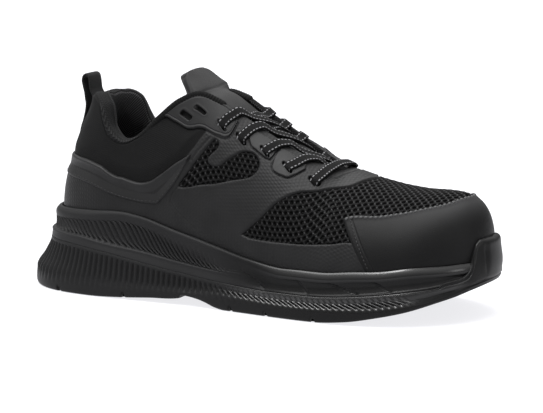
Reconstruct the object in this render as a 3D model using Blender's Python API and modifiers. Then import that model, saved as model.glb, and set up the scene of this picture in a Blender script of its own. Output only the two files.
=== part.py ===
"""Low-cut lace-up safety work shoe, right foot, as separate solids.

The pattern is drawn in millimetres at a base size, from the back of the heel (x = 0) to the toe,
with the lateral side at negative y and the floor at z = 0. It is graded to the driving sizes below
and built in metres, with the origin on the floor under the middle of the sole.
"""

from collections import namedtuple

import bmesh
import bpy
import numpy as np
from mathutils import Matrix, Vector

# Driving sizes, in metres
SOLE_LENGTH = 0.307
BALL_WIDTH = 0.111
INSTEP_HEIGHT = 0.1265
HEEL_HEIGHT = 0.120

# Heights that the pattern tables below are drawn at, in millimetres
BASE_INSTEP = 126.5
BASE_HEEL = 120.0

# Walls and clearances, in millimetres
GAP = 0.35
OVERLAY_GAP = 0.75
UPPER_WALL = 2.6
COLLAR_WALL = 6.5
PADDING_END = 8.4
TOE_CAP_WALL = 1.6
COUNTER_WALL = 1.8
EYESTAY_WALL = 1.3
INSOLE_THICKNESS = 4.0
TONGUE_THICKNESS = 6.0
LACE_WIDTH = 7.0
LACE_THICKNESS = 1.5
LOOP_WIDTH = 14.0
LOOP_THICKNESS = 1.8
SLOT_LENGTH = 7.5
SLOT_WIDTH = 3.4
SLOT_DEPTH = 16.0

# Sole details, in millimetres
RIB_DEPTH = 1.2
LIP_HEIGHT = 1.2
FOOTBED_THICKNESS = 6.0
TREAD_DEPTH = 3.0
BUMPER_TOP = 50.5
BUMPER_REACH = 0.95
BUMPER_FADE = 0.65

# Mesh density
COLUMNS = 60
RIBS_PER_COLUMN = 3
WALL_ROWS = 8
COUNTER_ROWS = 14
TOE_CAP_ROWS = 16
STRAP_STEPS = 9

# Sections of the upper, heel back to toe tip. foot_x, lateral and medial give the outline where the
# upper meets the footbed; top_x, top_z, top_mid and half_gap give the collar, throat and ridge line.
Section = namedtuple("Section", "foot_x lateral medial top_x top_z top_mid half_gap")
SECTIONS = [
    Section(19.5, 0.0, 0.0, 39.0, 120.0, 0.0, 0.0),       # heel back
    Section(23.0, -13.5, 13.5, 42.0, 120.5, 0.0, 12.0),
    Section(33.0, -24.5, 24.5, 48.5, 120.5, 0.0, 20.5),
    Section(48.0, -31.0, 30.5, 58.0, 115.5, 0.0, 26.5),   # collar shoulder
    Section(62.0, -34.0, 32.0, 66.0, 102.0, 0.0, 30.0),
    Section(76.0, -35.3, 32.0, 76.0, 95.5, 0.0, 31.0),    # ankle, the lowest of the collar
    Section(91.0, -36.0, 31.5, 87.0, 100.0, 0.0, 30.3),
    Section(106.0, -37.0, 31.0, 99.0, 111.5, 0.0, 28.0),
    Section(120.0, -38.0, 31.0, 111.0, 122.0, 0.0, 24.0),
    Section(133.0, -39.3, 31.5, 122.0, 126.5, 0.0, 20.3),  # top of the eyestay
    Section(145.0, -41.0, 32.5, 133.0, 123.0, 0.0, 17.5),
    Section(158.0, -43.0, 34.5, 146.0, 114.5, 0.3, 16.0),
    Section(172.0, -45.0, 37.5, 161.0, 105.5, 0.6, 15.0),
    Section(187.0, -47.0, 41.0, 178.0, 95.5, 1.0, 13.5),
    Section(203.0, -48.5, 44.5, 197.0, 86.0, 1.5, 9.5),
    Section(218.0, -48.7, 46.5, 212.0, 80.8, 2.0, 0.0),   # end of the throat
    Section(234.0, -47.5, 47.0, 228.0, 77.3, 3.0, 0.0),
    Section(252.0, -43.5, 45.0, 244.0, 74.2, 4.0, 0.0),
    Section(269.0, -36.5, 39.5, 258.0, 73.0, 4.5, 0.0),
    Section(283.0, -26.0, 31.0, 268.0, 73.2, 5.0, 0.0),
    Section(293.0, -13.0, 20.5, 275.0, 73.0, 5.0, 0.0),
    Section(297.0, 4.0, 4.0, 279.0, 72.3, 5.0, 0.0),      # toe tip
]
LAST = len(SECTIONS) - 1
ROUND = 2 * LAST

# Fullness of the section's curve: rise and lean shape it above the footbed, and pull, drop and puff
# shape it below the top. rise, pull and drop are shares, lean and puff are millimetres outwards.
Fullness = namedtuple("Fullness", "section rise lean pull drop puff")
FULLNESS = [
    Fullness(0, 0.45, 4.0, 0.00, 0.30, 1.0),
    Fullness(2, 0.40, 4.0, 0.00, 0.30, 2.0),
    Fullness(5, 0.40, 4.5, 0.10, 0.30, 2.5),
    Fullness(8, 0.40, 5.0, 0.25, 0.25, 3.0),
    Fullness(11, 0.40, 3.5, 0.42, 0.14, 2.0),
    Fullness(13, 0.42, 3.0, 0.48, 0.05, 1.0),
    Fullness(15, 0.50, 3.0, 0.55, 0.00, 0.0),
    Fullness(17, 0.55, 4.0, 0.62, 0.00, 0.0),
    Fullness(19, 0.60, 4.5, 0.72, 0.00, 0.0),
    Fullness(21, 0.64, 4.5, 0.80, 0.00, 0.0),
]

# Heights along the shoe, as (x, z) pairs
FOOTBED = [(15, 37), (60, 36.5), (100, 33), (140, 26.5), (180, 21), (215, 20), (250, 22.5), (285, 27.5), (300, 31)]
RIM = [(10, 47.5), (30, 49), (54, 50.5), (77, 52), (90, 50.5), (117, 43.5), (148, 36.2), (167, 31.9),
       (192, 28.6), (217, 28.6), (247, 31.3), (272, 33.6), (300, 35)]
LEDGE = [(10, 35.5), (48, 35), (66, 32.6), (97, 28.8), (119, 25.4), (150, 22.4), (175, 21.2), (217, 20.6),
         (250, 23.5), (280, 27.6), (305, 31.5)]
BAND = [(5, 31), (40, 30), (66, 27.5), (97, 22.5), (120, 19.3), (150, 16.4), (185, 14.7), (210, 14.8),
        (242, 17.3), (260, 19.6), (274, 21.8), (285, 24.4), (294, 27), (307, 30)]
RIB_FOOT = [(0, 7), (35, 8), (100, 8.6), (135, 9.6), (200, 6.6), (240, 8.5), (270, 14), (300, 27)]
GROUND = [(-2, 9), (4, 3.5), (10, 1), (20, 0), (80, 0), (100, 1.5), (128, 4.6), (133, 4.6), (146, 0.6),
          (152, 0), (212, 0), (231, 1.6), (248, 4.8), (264, 8.6), (280, 13.6), (294, 19), (303, 23), (308, 26)]

# How far each line of the sole's side stands out from the upper's outline, along the shoe
Stand = namedtuple("Stand", "x rim ledge band flare")
STANDS = [
    Stand(15, 6.0, 9.0, 9.8, 19.0),
    Stand(40, 5.5, 8.0, 9.0, 15.0),
    Stand(65, 5.0, 7.0, 8.0, 12.0),
    Stand(100, 4.5, 5.5, 6.8, 9.5),
    Stand(140, 4.2, 4.3, 5.8, 7.5),
    Stand(200, 4.2, 3.2, 5.6, 7.0),
    Stand(250, 4.2, 3.4, 5.8, 7.5),
    Stand(300, 4.4, 3.8, 6.4, 8.8),
]

# Overlays, as rows of their lower and upper edges: the section and the share of the way up the wall
Strip = namedtuple("Strip", "low_section low_share high_section high_share")
COUNTER = [
    Strip(8.56, 0.555, 8.54, 0.585),
    Strip(7.98, 0.438, 8.00, 0.550),
    Strip(7.40, 0.340, 7.20, 0.510),
    Strip(6.70, 0.240, 6.30, 0.495),
    Strip(5.48, 0.268, 5.48, 0.530),
    Strip(4.40, 0.288, 4.32, 0.545),
    Strip(3.20, 0.258, 3.02, 0.460),
    Strip(2.20, 0.247, 2.20, 0.450),
    Strip(1.10, 0.238, 1.10, 0.475),
]
EYESTAY = [
    Strip(7.34, 0.945, 7.30, 0.985),
    Strip(7.74, 0.848, 7.74, 0.985),
    Strip(8.26, 0.765, 8.26, 0.985),
    Strip(8.98, 0.740, 8.98, 0.985),
    Strip(9.56, 0.728, 9.56, 0.985),
    Strip(10.28, 0.705, 10.24, 0.985),
    Strip(10.60, 0.725, 10.60, 0.985),
    Strip(10.98, 0.855, 10.98, 0.985),
]
TOE_CAP_TOP = [(15.60, 0.46), (15.90, 0.51), (16.50, 0.535), (17.22, 0.590), (18.00, 0.657), (18.96, 0.708),
               (20.06, 0.802), (21.00, 0.850)]
TOE_CAP_REAR_LEAN = 0.85

# Eyelets, as (section, share of the way up the wall): two open slots, then those that the lace uses
OPEN_SLOTS = [(8.30, 0.843), (9.04, 0.848)]
LACE_SLOTS = [(10.24, 0.782), (11.16, 0.758), (12.18, 0.760), (13.06, 0.730), (14.00, 0.715)]

# Length of the tongue above the eyestay, as (distance along it, share of its full width)
TONGUE_TOP = [(5.0, 0.96), (11.0, 0.95), (16.0, 0.94), (19.5, 0.87), (21.5, 0.74)]
TONGUE_RISE = 0.70
TONGUE_CROWN = 4.0

# Free part of the pull loop, as (x, z) of the middle of its webbing above the back of the heel
LOOP_PATH = [(30.6, 116.0), (28.0, 122.5), (28.0, 128.0), (31.5, 131.0), (36.5, 131.0), (40.2, 127.0)]
LOOP_FOOT = (0.84, 0.90)

# Plain colours of the solids: red, green, blue, roughness
FINISHES = {
    "upper_textile": (0.022, 0.022, 0.023, 0.80),
    "toe_film": (0.032, 0.032, 0.034, 0.50),
    "moulded_film": (0.028, 0.028, 0.030, 0.45),
    "sole_foam": (0.030, 0.030, 0.032, 0.55),
    "sole_rubber": (0.022, 0.022, 0.024, 0.50),
    "tongue_textile": (0.060, 0.058, 0.062, 0.80),
    "footbed": (0.018, 0.018, 0.020, 0.90),
    "lace": (0.012, 0.012, 0.014, 0.70),
    "webbing": (0.014, 0.014, 0.016, 0.75),
}


# Curves through tables

def spline(knots, values, query, period):
    """Smooth closed curve through values at knots, with matching slope and curvature where it closes."""
    knots = np.append(np.asarray(knots, float), knots[0] + period)
    values = np.vstack([values, values[:1]])
    query = knots[0] + np.mod(np.asarray(query, float) - knots[0], period)
    count = len(knots)
    step = np.diff(knots)
    slope = np.diff(values, axis=0) / step[:, None]
    system = np.zeros((count, count))
    load = np.zeros_like(values)
    for i in range(1, count - 1):
        system[i, i - 1:i + 2] = step[i - 1], 2 * (step[i - 1] + step[i]), step[i]
        load[i] = 6 * (slope[i] - slope[i - 1])
    system[0, 0], system[0, 1], system[0, -2] = 2 * (step[0] + step[-1]), step[0], step[-1]
    load[0] = 6 * (slope[0] - slope[-1])
    system[-1, 0], system[-1, -1] = 1, -1
    bend = np.linalg.solve(system, load)
    i = np.clip(np.searchsorted(knots, query, side="right") - 1, 0, count - 2)
    width = step[i][..., None]
    past = query[..., None] - knots[i][..., None]
    left = width - past
    cubic = (bend[i] * left ** 3 + bend[i + 1] * past ** 3) / (6 * width)
    cubic += (values[i] / width - bend[i] * width / 6) * left
    return cubic + (values[i + 1] / width - bend[i + 1] * width / 6) * past


def steady(knots, values, query):
    """Curve through values at knots that never swings past them, for heights and widths."""
    knots = np.asarray(knots, float)
    values = np.asarray(values, float)
    query = np.clip(np.asarray(query, float), knots[0], knots[-1])
    step = np.diff(knots)
    slope = np.diff(values) / step
    before, after = slope[:-1], slope[1:]
    same_way = before * after > 0
    weight_a = 2 * step[1:] + step[:-1]
    weight_b = step[1:] + 2 * step[:-1]
    safe_before = np.where(same_way, before, 1)
    safe_after = np.where(same_way, after, 1)
    mean = (weight_a + weight_b) / (weight_a / safe_before + weight_b / safe_after)
    tangent = np.concatenate([slope[:1], np.where(same_way, mean, 0), slope[-1:]])
    i = np.clip(np.searchsorted(knots, query, side="right") - 1, 0, len(knots) - 2)
    t = (query - knots[i]) / step[i]
    start = (2 * t ** 3 - 3 * t ** 2 + 1) * values[i] + (t ** 3 - 2 * t ** 2 + t) * step[i] * tangent[i]
    end = (3 * t ** 2 - 2 * t ** 3) * values[i + 1] + (t ** 3 - t ** 2) * step[i] * tangent[i + 1]
    return start + end


def along(table, x):
    """Value at x of a table of (x, value) pairs."""
    return steady([row[0] for row in table], [row[1] for row in table], x)


def column(rows, name):
    return np.array([getattr(row, name) for row in rows], float)


# The upper's own function: section 0 is the heel back, LAST the toe tip, and past it the medial side

def side_of(section):
    """Folds a section of the whole round onto the table, with -1 on the lateral side and 1 on the medial."""
    section = np.mod(np.asarray(section, float), ROUND)
    return np.where(section > LAST, ROUND - section, section), np.where(section > LAST, 1.0, -1.0)


def even(values, knots, folded):
    """Value at a folded section of a column that is the same on both sides of the heel and toe."""
    before = slice(2, 0, -1)
    after = slice(-2, -4, -1)
    all_knots = np.concatenate([-knots[before], knots, 2 * LAST - knots[after]])
    return steady(all_knots, np.concatenate([values[before], values, values[after]]), folded)


def foot_point(section):
    """Outline where the upper meets the footbed, as x and y."""
    lateral = [(row.foot_x, row.lateral) for row in SECTIONS]
    medial = [(row.foot_x, row.medial) for row in SECTIONS[-2:0:-1]]
    return spline(np.arange(ROUND), np.array(lateral + medial), section, ROUND)


def foot_outward(section):
    """Level direction out of the outline."""
    ahead = foot_point(np.asarray(section) + 0.01) - foot_point(np.asarray(section) - 0.01)
    ahead /= np.linalg.norm(ahead, axis=-1, keepdims=True)
    return np.stack([ahead[..., 1], -ahead[..., 0], np.zeros_like(ahead[..., 0])], -1)


def top_point(section):
    """Collar, edge of the throat, and ridge from the throat's end to the toe."""
    folded, side = side_of(section)
    knots = np.arange(LAST + 1)
    x = even(column(SECTIONS, "top_x"), knots, folded)
    z = even(column(SECTIONS, "top_z"), knots, folded)
    mid = even(column(SECTIONS, "top_mid"), knots, folded)
    gap = column(SECTIONS, "half_gap")
    half_gap = steady(np.arange(-2, LAST + 1), np.concatenate([-gap[2:0:-1], gap]), folded)
    return np.stack([x, mid + side * np.maximum(half_gap, 0), z], -1)


def wall_point(section, share):
    """Outside of the upper: share 0 is the footbed, 1 the collar, throat or ridge."""
    section, share = np.broadcast_arrays(np.asarray(section, float), np.asarray(share, float))
    folded, _ = side_of(section)
    plan = foot_point(section)
    foot = np.concatenate([plan, along(FOOTBED, plan[..., 0])[..., None]], -1)
    top = top_point(section)
    knots = column(FULLNESS, "section")
    rise, lean, pull, drop, puff = (
        even(column(FULLNESS, name), knots, folded)[..., None] for name in Fullness._fields[1:]
    )
    out = foot_outward(section)
    up = np.array([0.0, 0.0, 1.0])
    height = (top - foot)[..., 2:]
    low = foot + up * rise * height + out * lean
    high = top + (foot - top) * np.array([1, 1, 0]) * pull - up * drop * height + out * puff
    t = share[..., None]
    return (1 - t) ** 3 * foot + 3 * (1 - t) ** 2 * t * low + 3 * (1 - t) * t * t * high + t ** 3 * top


def wall_outward(section, share):
    """Direction out of the upper's outside."""
    section, share = np.broadcast_arrays(np.asarray(section, float), np.asarray(share, float))
    nudge = 0.002
    ahead = wall_point(section + nudge, share) - wall_point(section - nudge, share)
    above = wall_point(section, np.minimum(share + nudge, 1))
    below = wall_point(section, np.maximum(share - nudge, 0))
    out = np.cross(ahead, above - below)
    return out / np.linalg.norm(out, axis=-1, keepdims=True)


def wall_offset(section, share, distance):
    return wall_point(section, share) + wall_outward(section, share) * np.asarray(distance)[..., None]


def wall_thickness(section, share):
    """Full padding round the collar, easing to the plain wall below it and along the eyestay."""
    folded, _ = side_of(section)
    along_collar = np.clip((PADDING_END - folded) / 2.0, 0, 1)
    up_wall = np.clip((np.asarray(share) - 0.45) / 0.4, 0, 1)
    return UPPER_WALL + (COLLAR_WALL - UPPER_WALL) * along_collar * up_wall * up_wall * (3 - 2 * up_wall)


def share_at_height(section, height):
    """How far up the wall each section reaches a height."""
    shares = np.linspace(0, 0.6, 121)
    heights = wall_point(np.asarray(section)[:, None], shares[None, :])[..., 2]
    return np.array([np.interp(goal, row, shares) for goal, row in zip(height, heights)])


def round_sections():
    """Columns of the whole round, evenly spaced along the outline, the same on both sides."""
    dense = np.linspace(0, LAST, 2001)
    plan = foot_point(dense)
    run = np.concatenate([[0], np.cumsum(np.linalg.norm(np.diff(plan, axis=0), axis=1))])
    lateral = np.interp(np.linspace(0, run[-1], COLUMNS // 2 + 1), run, dense)
    edges = LAST - BUMPER_REACH - BUMPER_FADE * np.array([1.0, 0.5, 0.0])
    lateral = np.concatenate([lateral[lateral < edges[0] - 0.3], edges, [LAST - BUMPER_REACH / 2, LAST]])
    return np.concatenate([lateral, ROUND - lateral[-2:0:-1]])


def between(sections, parts):
    """Finer columns that keep the coarse ones."""
    closed = np.append(sections, ROUND)
    steps = np.arange(len(sections) * parts) / parts
    return np.interp(steps, np.arange(len(closed)), closed)


# Rings of the sole

def stand(section, name, more=0.0):
    """Ring that stands out from the outline by a column of STANDS, as x and y."""
    plan = foot_point(section)
    distance = steady(column(STANDS, "x"), column(STANDS, name), plan[..., 0]) + more
    return plan + foot_outward(section)[..., :2] * distance[..., None]


def ring(plan, height):
    return np.concatenate([plan, np.broadcast_to(height, plan.shape[:-1])[..., None]], -1)


def leaned(sections, amount):
    """Moves columns towards the toe on both sides, and not at the heel back or toe tip."""
    folded, side = side_of(sections)
    ease = np.clip(np.minimum(folded, LAST - folded) / 2, 0, 1)
    return sections - side * amount * ease


def ribbed(sections, ring_points, depth):
    """Pushes every second column in, for ribs of that depth."""
    out = foot_outward(sections)
    valley = (np.arange(len(sections)) % 2)[:, None]
    return ring_points - out * valley * np.asarray(depth)[:, None]


def heel_rib_depth(sections):
    """Diagonal ribs of the midsole run round the heel and fade out at the waist."""
    x = foot_point(sections)[..., 0]
    return RIB_DEPTH * np.clip((168 - x) / 30, 0, 1)


def side_rib_depth(sections):
    """Ribs of the outsole run round it and fade out at the toe bumper."""
    x = foot_point(sections)[..., 0]
    return RIB_DEPTH * np.clip((278 - x) / 20, 0, 1)


def cup_floor(sections):
    """Height where the midsole rests on the outsole, which stays under the footbed at the toe."""
    x = foot_point(sections)[..., 0]
    return np.minimum(along(BAND, x), along(FOOTBED, x) - FOOTBED_THICKNESS)


def bumper_share(sections):
    """1 on the toe bumper, falling to 0 past its edges."""
    folded, _ = side_of(sections)
    share = np.clip((BUMPER_REACH + BUMPER_FADE - (LAST - folded)) / BUMPER_FADE, 0, 1)
    return share * share * (3 - 2 * share)


# Grading and meshes

SECTION_ROUND = round_sections()
FLARE_RING = stand(SECTION_ROUND, "flare")
MIDDLE = (FLARE_RING.min(axis=0) + FLARE_RING.max(axis=0)) / 2
BASE_LENGTH, BASE_WIDTH = np.ptp(FLARE_RING, axis=0)
INSTEP_X = SECTIONS[9].top_x


def graded(points):
    """Pattern millimetres to metres at the driving sizes, about the middle of the sole."""
    points = np.asarray(points, float)
    heel_share = np.clip((INSTEP_X - points[..., 0]) / INSTEP_X, 0, 1)
    height_grade = (1 - heel_share) * INSTEP_HEIGHT / BASE_INSTEP + heel_share * HEEL_HEIGHT / BASE_HEEL
    x = (points[..., 0] - MIDDLE[0]) * SOLE_LENGTH / BASE_LENGTH
    y = (points[..., 1] - MIDDLE[1]) * BALL_WIDTH / BASE_WIDTH
    return np.stack([x, y, points[..., 2] * height_grade], -1)


def add_verts(bm, points):
    return [bm.verts.new(p) for p in graded(points)]


def skin(bm, first, second):
    """Faces between two rings, which may have a whole number of columns to one."""
    if len(first) > len(second):
        first, second = second, first
    parts = len(second) // len(first)
    for j, corner in enumerate(first):
        following = first[(j + 1) % len(first)]
        fine = [second[(j * parts + k) % len(second)] for k in range(parts + 1)]
        if parts == 1:
            bm.faces.new((corner, following, fine[1], fine[0]))
            continue
        half = parts // 2
        for k in range(half):
            bm.faces.new((corner, fine[k + 1], fine[k]))
        bm.faces.new((corner, following, fine[half]))
        for k in range(half, parts):
            bm.faces.new((following, fine[k + 1], fine[k]))


def ladder(bm, verts, across=1):
    """Fills a ring with rungs from the lateral side to the medial. Returns the cells, by rung."""
    half = len(verts) // 2
    rungs = [[verts[0]]]
    for i in range(1, half):
        left, right = verts[i], verts[-i]
        shares = [k / across for k in range(1, across)]
        rungs.append([left] + [bm.verts.new(left.co.lerp(right.co, share)) for share in shares] + [right])
    rungs.append([verts[half]])
    cells = []
    for near, far in zip(rungs, rungs[1:]):
        row = []
        for k in range(across):
            corners = [near[min(k, len(near) - 1)], near[min(k + 1, len(near) - 1)],
                       far[min(k + 1, len(far) - 1)], far[min(k, len(far) - 1)]]
            row.append(bm.faces.new(list(dict.fromkeys(corners))))
        cells.append(row)
    return cells


def finish(name, bm, material, collection):
    """Makes the object of a mesh, with its faces pointing out and its round sides shaded smooth."""
    bmesh.ops.recalc_face_normals(bm, faces=bm.faces)
    mesh = bpy.data.meshes.new(name)
    bm.to_mesh(mesh)
    bm.free()
    mesh.shade_smooth()
    mesh.set_sharp_from_angle(angle=0.7)
    obj = bpy.data.objects.new(name, mesh)
    collection.objects.link(obj)
    if material:
        obj.data.materials.append(material)
    return obj


def loft(rings, across=1):
    """Solid through closed rings, filled at both ends. Returns its mesh and the cells of its last fill."""
    bm = bmesh.new()
    loops = [add_verts(bm, points) for points in rings]
    for first, second in zip(loops, loops[1:]):
        skin(bm, first, second)
    ladder(bm, loops[0])
    cells = ladder(bm, loops[-1], across)
    return bm, cells


def sheet(points, closed_round=False):
    """Open surface through a grid of points, as a mesh."""
    bm = bmesh.new()
    rows = [add_verts(bm, line) for line in points]
    count = len(rows[0])
    for first, second in zip(rows, rows[1:]):
        for k in range(count if closed_round else count - 1):
            following = (k + 1) % count
            bm.faces.new((first[k], first[following], second[following], second[k]))
    return bm


def add_shell(obj, thickness, offset):
    """Gives an open surface its wall: offset -1 grows inwards, 1 outwards."""
    shell = obj.modifiers.new("wall", "SOLIDIFY")
    shell.thickness = thickness * 0.001
    shell.offset = offset
    shell.use_even_offset = False
    shell.use_rim = True
    return shell


def sweep(path, sideways, width, thickness):
    """Flat strap along a path, with sideways its width direction at each point."""
    path = np.asarray(path, float)
    ahead = np.gradient(path, axis=0)
    ahead /= np.linalg.norm(ahead, axis=1, keepdims=True)
    across = sideways - ahead * (sideways * ahead).sum(axis=1, keepdims=True)
    across /= np.linalg.norm(across, axis=1, keepdims=True)
    up = np.cross(ahead, across)
    corners = ((-1, -1), (1, -1), (1, 1), (-1, 1))
    bm = bmesh.new()
    rings = [add_verts(bm, [p + a * i * width / 2 + n * j * thickness / 2 for i, j in corners])
             for p, a, n in zip(path, across, up)]
    for first, second in zip(rings, rings[1:]):
        skin(bm, first, second)
    bm.faces.new(rings[0])
    bm.faces.new(rings[-1][::-1])
    return bm


def smooth_path(points, count):
    """Evenly spaced points of a soft curve through a few chosen ones."""
    points = np.asarray(points, float)
    run = np.concatenate([[0], np.cumsum(np.linalg.norm(np.diff(points, axis=0), axis=1))])
    goals = np.linspace(0, run[-1], count)
    return np.stack([steady(run, points[:, k], goals) for k in range(points.shape[1])], -1)


def join(obj, other, operation):
    """Cuts or joins a solid with another, which stays as a hidden guide."""
    step = obj.modifiers.new(operation.lower(), "BOOLEAN")
    step.operation = operation
    step.object = other
    step.solver = "EXACT"


def make_guide(obj):
    obj.hide_render = True
    obj.display_type = "WIRE"


# Pieces

def build_upper(material, parts):
    """Hollow wall, open underneath, at the throat and at the collar."""
    rim_share = share_at_height(SECTION_ROUND, along(RIM, foot_point(SECTION_ROUND)[:, 0]))
    steps = np.linspace(0, 1, WALL_ROWS + 1)
    shares = [rim_share * 0, rim_share / 2] + [rim_share + (1 - rim_share) * step for step in steps]
    bm = sheet([wall_point(SECTION_ROUND, share) for share in shares], closed_round=True)
    bm.verts.ensure_lookup_table()
    factors = np.concatenate([wall_thickness(SECTION_ROUND, share) for share in shares]) / COLLAR_WALL
    bm.faces.ensure_lookup_table()
    layer = bm.verts.layers.deform.verify()
    for vert, factor in zip(bm.verts, factors):
        vert[layer][0] = float(factor)
    bmesh.ops.remove_doubles(bm, verts=bm.verts, dist=1e-5)
    obj = finish("upper", bm, material, parts)
    obj.vertex_groups.new(name="padding")
    shell = add_shell(obj, COLLAR_WALL, -1)
    shell.vertex_group = "padding"
    return obj


def build_midsole(material, parts):
    """Cup that holds the upper: footbed, rim, ribbed heel side, ledge and smooth side band."""
    coarse = SECTION_ROUND
    fine = between(coarse, 2 * RIBS_PER_COLUMN)
    plan = foot_point(coarse)
    rim_height = along(RIM, plan[:, 0])
    rim_share = share_at_height(coarse, rim_height)
    inner = [wall_point(coarse, rim_share * part) + foot_outward(coarse) * GAP for part in (0, 0.5, 1)]
    inner[0] = inner[0] - np.array([0, 0, GAP])
    outer = stand(coarse, "rim")
    crest = ring((inner[2][:, :2] + outer) / 2, rim_height + 0.6)
    fine_low = leaned(fine, 0.35)
    fine_top = ring(stand(fine, "rim", 0.2), along(RIM, foot_point(fine)[:, 0]) - 5.0)
    fine_foot = ring(stand(fine_low, "rim", 0.4), along(LEDGE, foot_point(fine_low)[:, 0]) + 1.2)
    x = plan[:, 0]
    rings = [
        inner[0],
        inner[1],
        inner[2],
        crest,
        ring(outer, rim_height - 1.8),
        ribbed(fine, fine_top, heel_rib_depth(fine)),
        ribbed(fine, fine_foot, heel_rib_depth(fine)),
        ring(stand(coarse, "ledge"), along(LEDGE, x)),
        ring(stand(coarse, "band", -0.6), along(BAND, x) + LIP_HEIGHT + 1.0),
        ring(stand(coarse, "band", -0.8), cup_floor(coarse) + GAP),
        ring(stand(coarse, "band", -4.0), cup_floor(coarse) + GAP),
    ]
    bm, _ = loft(rings)
    return finish("midsole", bm, material, parts)


def build_outsole(material, parts):
    """Flared lower unit with side ribs, tread, and the bumper that it carries up the toe."""
    coarse = SECTION_ROUND
    fine = between(coarse, 2 * RIBS_PER_COLUMN)
    x = foot_point(coarse)[:, 0]
    fine_x = foot_point(fine)[:, 0]
    fine_low = leaned(fine, 0.30)
    rib_top = ring(stand(fine, "band", 1.8), along(BAND, fine_x) - 1.6)
    rib_low = ring(stand(fine_low, "flare", -0.3), along(RIB_FOOT, foot_point(fine_low)[:, 0]))
    band = along(BAND, x)
    bumper = bumper_share(coarse)
    lip_top = band + LIP_HEIGHT + bumper * (BUMPER_TOP - band - LIP_HEIGHT)
    lip_inner = stand(coarse, "band", -0.2)
    lean_in = foot_outward(coarse)[:, :2] * (bumper * 2.2)[:, None]
    rib_foot = along(RIB_FOOT, x)
    tread_edge = stand(coarse, "flare", -4.0)
    ground = along(GROUND, tread_edge[:, 0])
    outer_ground = along(GROUND, stand(coarse, "flare")[:, 0])
    rings = [
        ring(stand(coarse, "band", -4.0), cup_floor(coarse)),
        ring(lip_inner, cup_floor(coarse)),
        ring(lip_inner - lean_in * 0.3, (band + lip_top) / 2),
        ring(lip_inner - lean_in, lip_top - 0.4 * bumper),
        ring(stand(coarse, "band", 1.0) - lean_in * 0.2, lip_top),
        ring(stand(coarse, "band", 1.6), band + (lip_top - band) * 0.35),
        ribbed(fine, rib_top, side_rib_depth(fine)),
        ribbed(fine, rib_low, side_rib_depth(fine)),
        ring(stand(coarse, "flare"), rib_foot * 0.75 + outer_ground * 0.25),
        ring(stand(coarse, "flare", -1.2), rib_foot * 0.25 + outer_ground * 0.75),
        ring(tread_edge, ground),
    ]
    across = 5
    bm, cells = loft(rings, across)
    cut_tread(bm, cells, across)
    return finish("outsole", bm, material, parts)


def cut_tread(bm, cells, across):
    """Recesses cross grooves into the bottom, so that the lugs between them stand on the floor."""
    grooves = [cell for row in cells[2:-2:2] for cell in row[1:across - 1]]
    made = bmesh.ops.extrude_face_region(bm, geom=grooves)
    moved = [item for item in made["geom"] if isinstance(item, bmesh.types.BMVert)]
    bmesh.ops.translate(bm, verts=moved, vec=Vector((0, 0, TREAD_DEPTH * 0.001)))
    bmesh.ops.delete(bm, geom=[cell for cell in grooves if cell.is_valid], context="FACES_ONLY")


def build_insole(material, parts):
    """Flat footbed liner inside the wall of the upper."""
    inset = UPPER_WALL + 2 * GAP
    plan = foot_point(SECTION_ROUND) - foot_outward(SECTION_ROUND)[:, :2] * inset
    floor = along(FOOTBED, foot_point(SECTION_ROUND)[:, 0])
    rings = [ring(plan, floor), ring(plan, floor + INSOLE_THICKNESS)]
    bm, _ = loft(rings)
    return finish("insole", bm, material, parts)


def build_tongue(material, parts):
    """Padded tongue, seated under both edges of the throat, that stands up past the eyestay."""
    shares = np.array([0.84, 0.90, 0.96])
    sections = np.linspace(15.25, 9.2, 10)
    rows = []
    for section in sections:
        depth = wall_thickness(section, shares) + 3.6 * GAP
        lateral = wall_offset(section, shares, -depth)
        medial = wall_offset(ROUND - section, shares, -depth)
        openness = np.clip((medial[-1] - lateral[-1])[1] / 24 - 0.25, 0, 1)
        middle = (lateral[-1] + medial[-1]) / 2 + np.array([0, 0, TONGUE_CROWN * openness])
        rows.append(smooth_path(np.vstack([lateral, middle, medial[::-1]]), 9))
    base = rows[-1]
    centre = base[len(base) // 2]
    climb = np.array([-1.0, 0.0, TONGUE_RISE]) / np.hypot(1.0, TONGUE_RISE)
    for distance, share in TONGUE_TOP:
        narrowed = centre + (base - centre) * np.array([1, share, share])
        rows.append(narrowed + climb * distance)
    obj = finish("tongue", sheet(rows), material, parts)
    add_shell(obj, TONGUE_THICKNESS, -1)
    return obj


def overlay(name, rows, wall, material, parts, columns=4):
    """Skin on the upper between the lower and upper edges of its strips."""
    rows = np.asarray(rows, float)
    shares = np.linspace(0, 1, columns + 1)
    sections = rows[:, :1] * (1 - shares) + rows[:, 2:3] * shares
    heights = rows[:, 1:2] * (1 - shares) + rows[:, 3:4] * shares
    distance = np.full(sections.shape, OVERLAY_GAP)
    obj = finish(name, sheet(wall_offset(sections, heights, distance)), material, parts)
    add_shell(obj, wall, 1)
    return obj


def build_toe_cap(material, parts):
    """Protective cap round the toe, from the rim of the sole to a stitched top edge."""
    lateral = np.linspace(TOE_CAP_TOP[0][0], LAST, TOE_CAP_ROWS)
    tops = steady([row[0] for row in TOE_CAP_TOP], [row[1] for row in TOE_CAP_TOP], lateral)
    rear = np.clip((17.5 - lateral) / (17.5 - TOE_CAP_TOP[0][0]), 0, 1) * TOE_CAP_REAR_LEAN
    feet = lateral + rear
    low = share_at_height(feet, along(RIM, foot_point(feet)[:, 0]) + 1.4)
    half = np.stack([feet, low, lateral, tops], -1)
    mirrored = half[-2::-1] * np.array([-1, 1, -1, 1]) + np.array([ROUND, 0, ROUND, 0])
    return overlay("toe_cap", np.vstack([half, mirrored]), TOE_CAP_WALL, material, parts)


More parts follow.
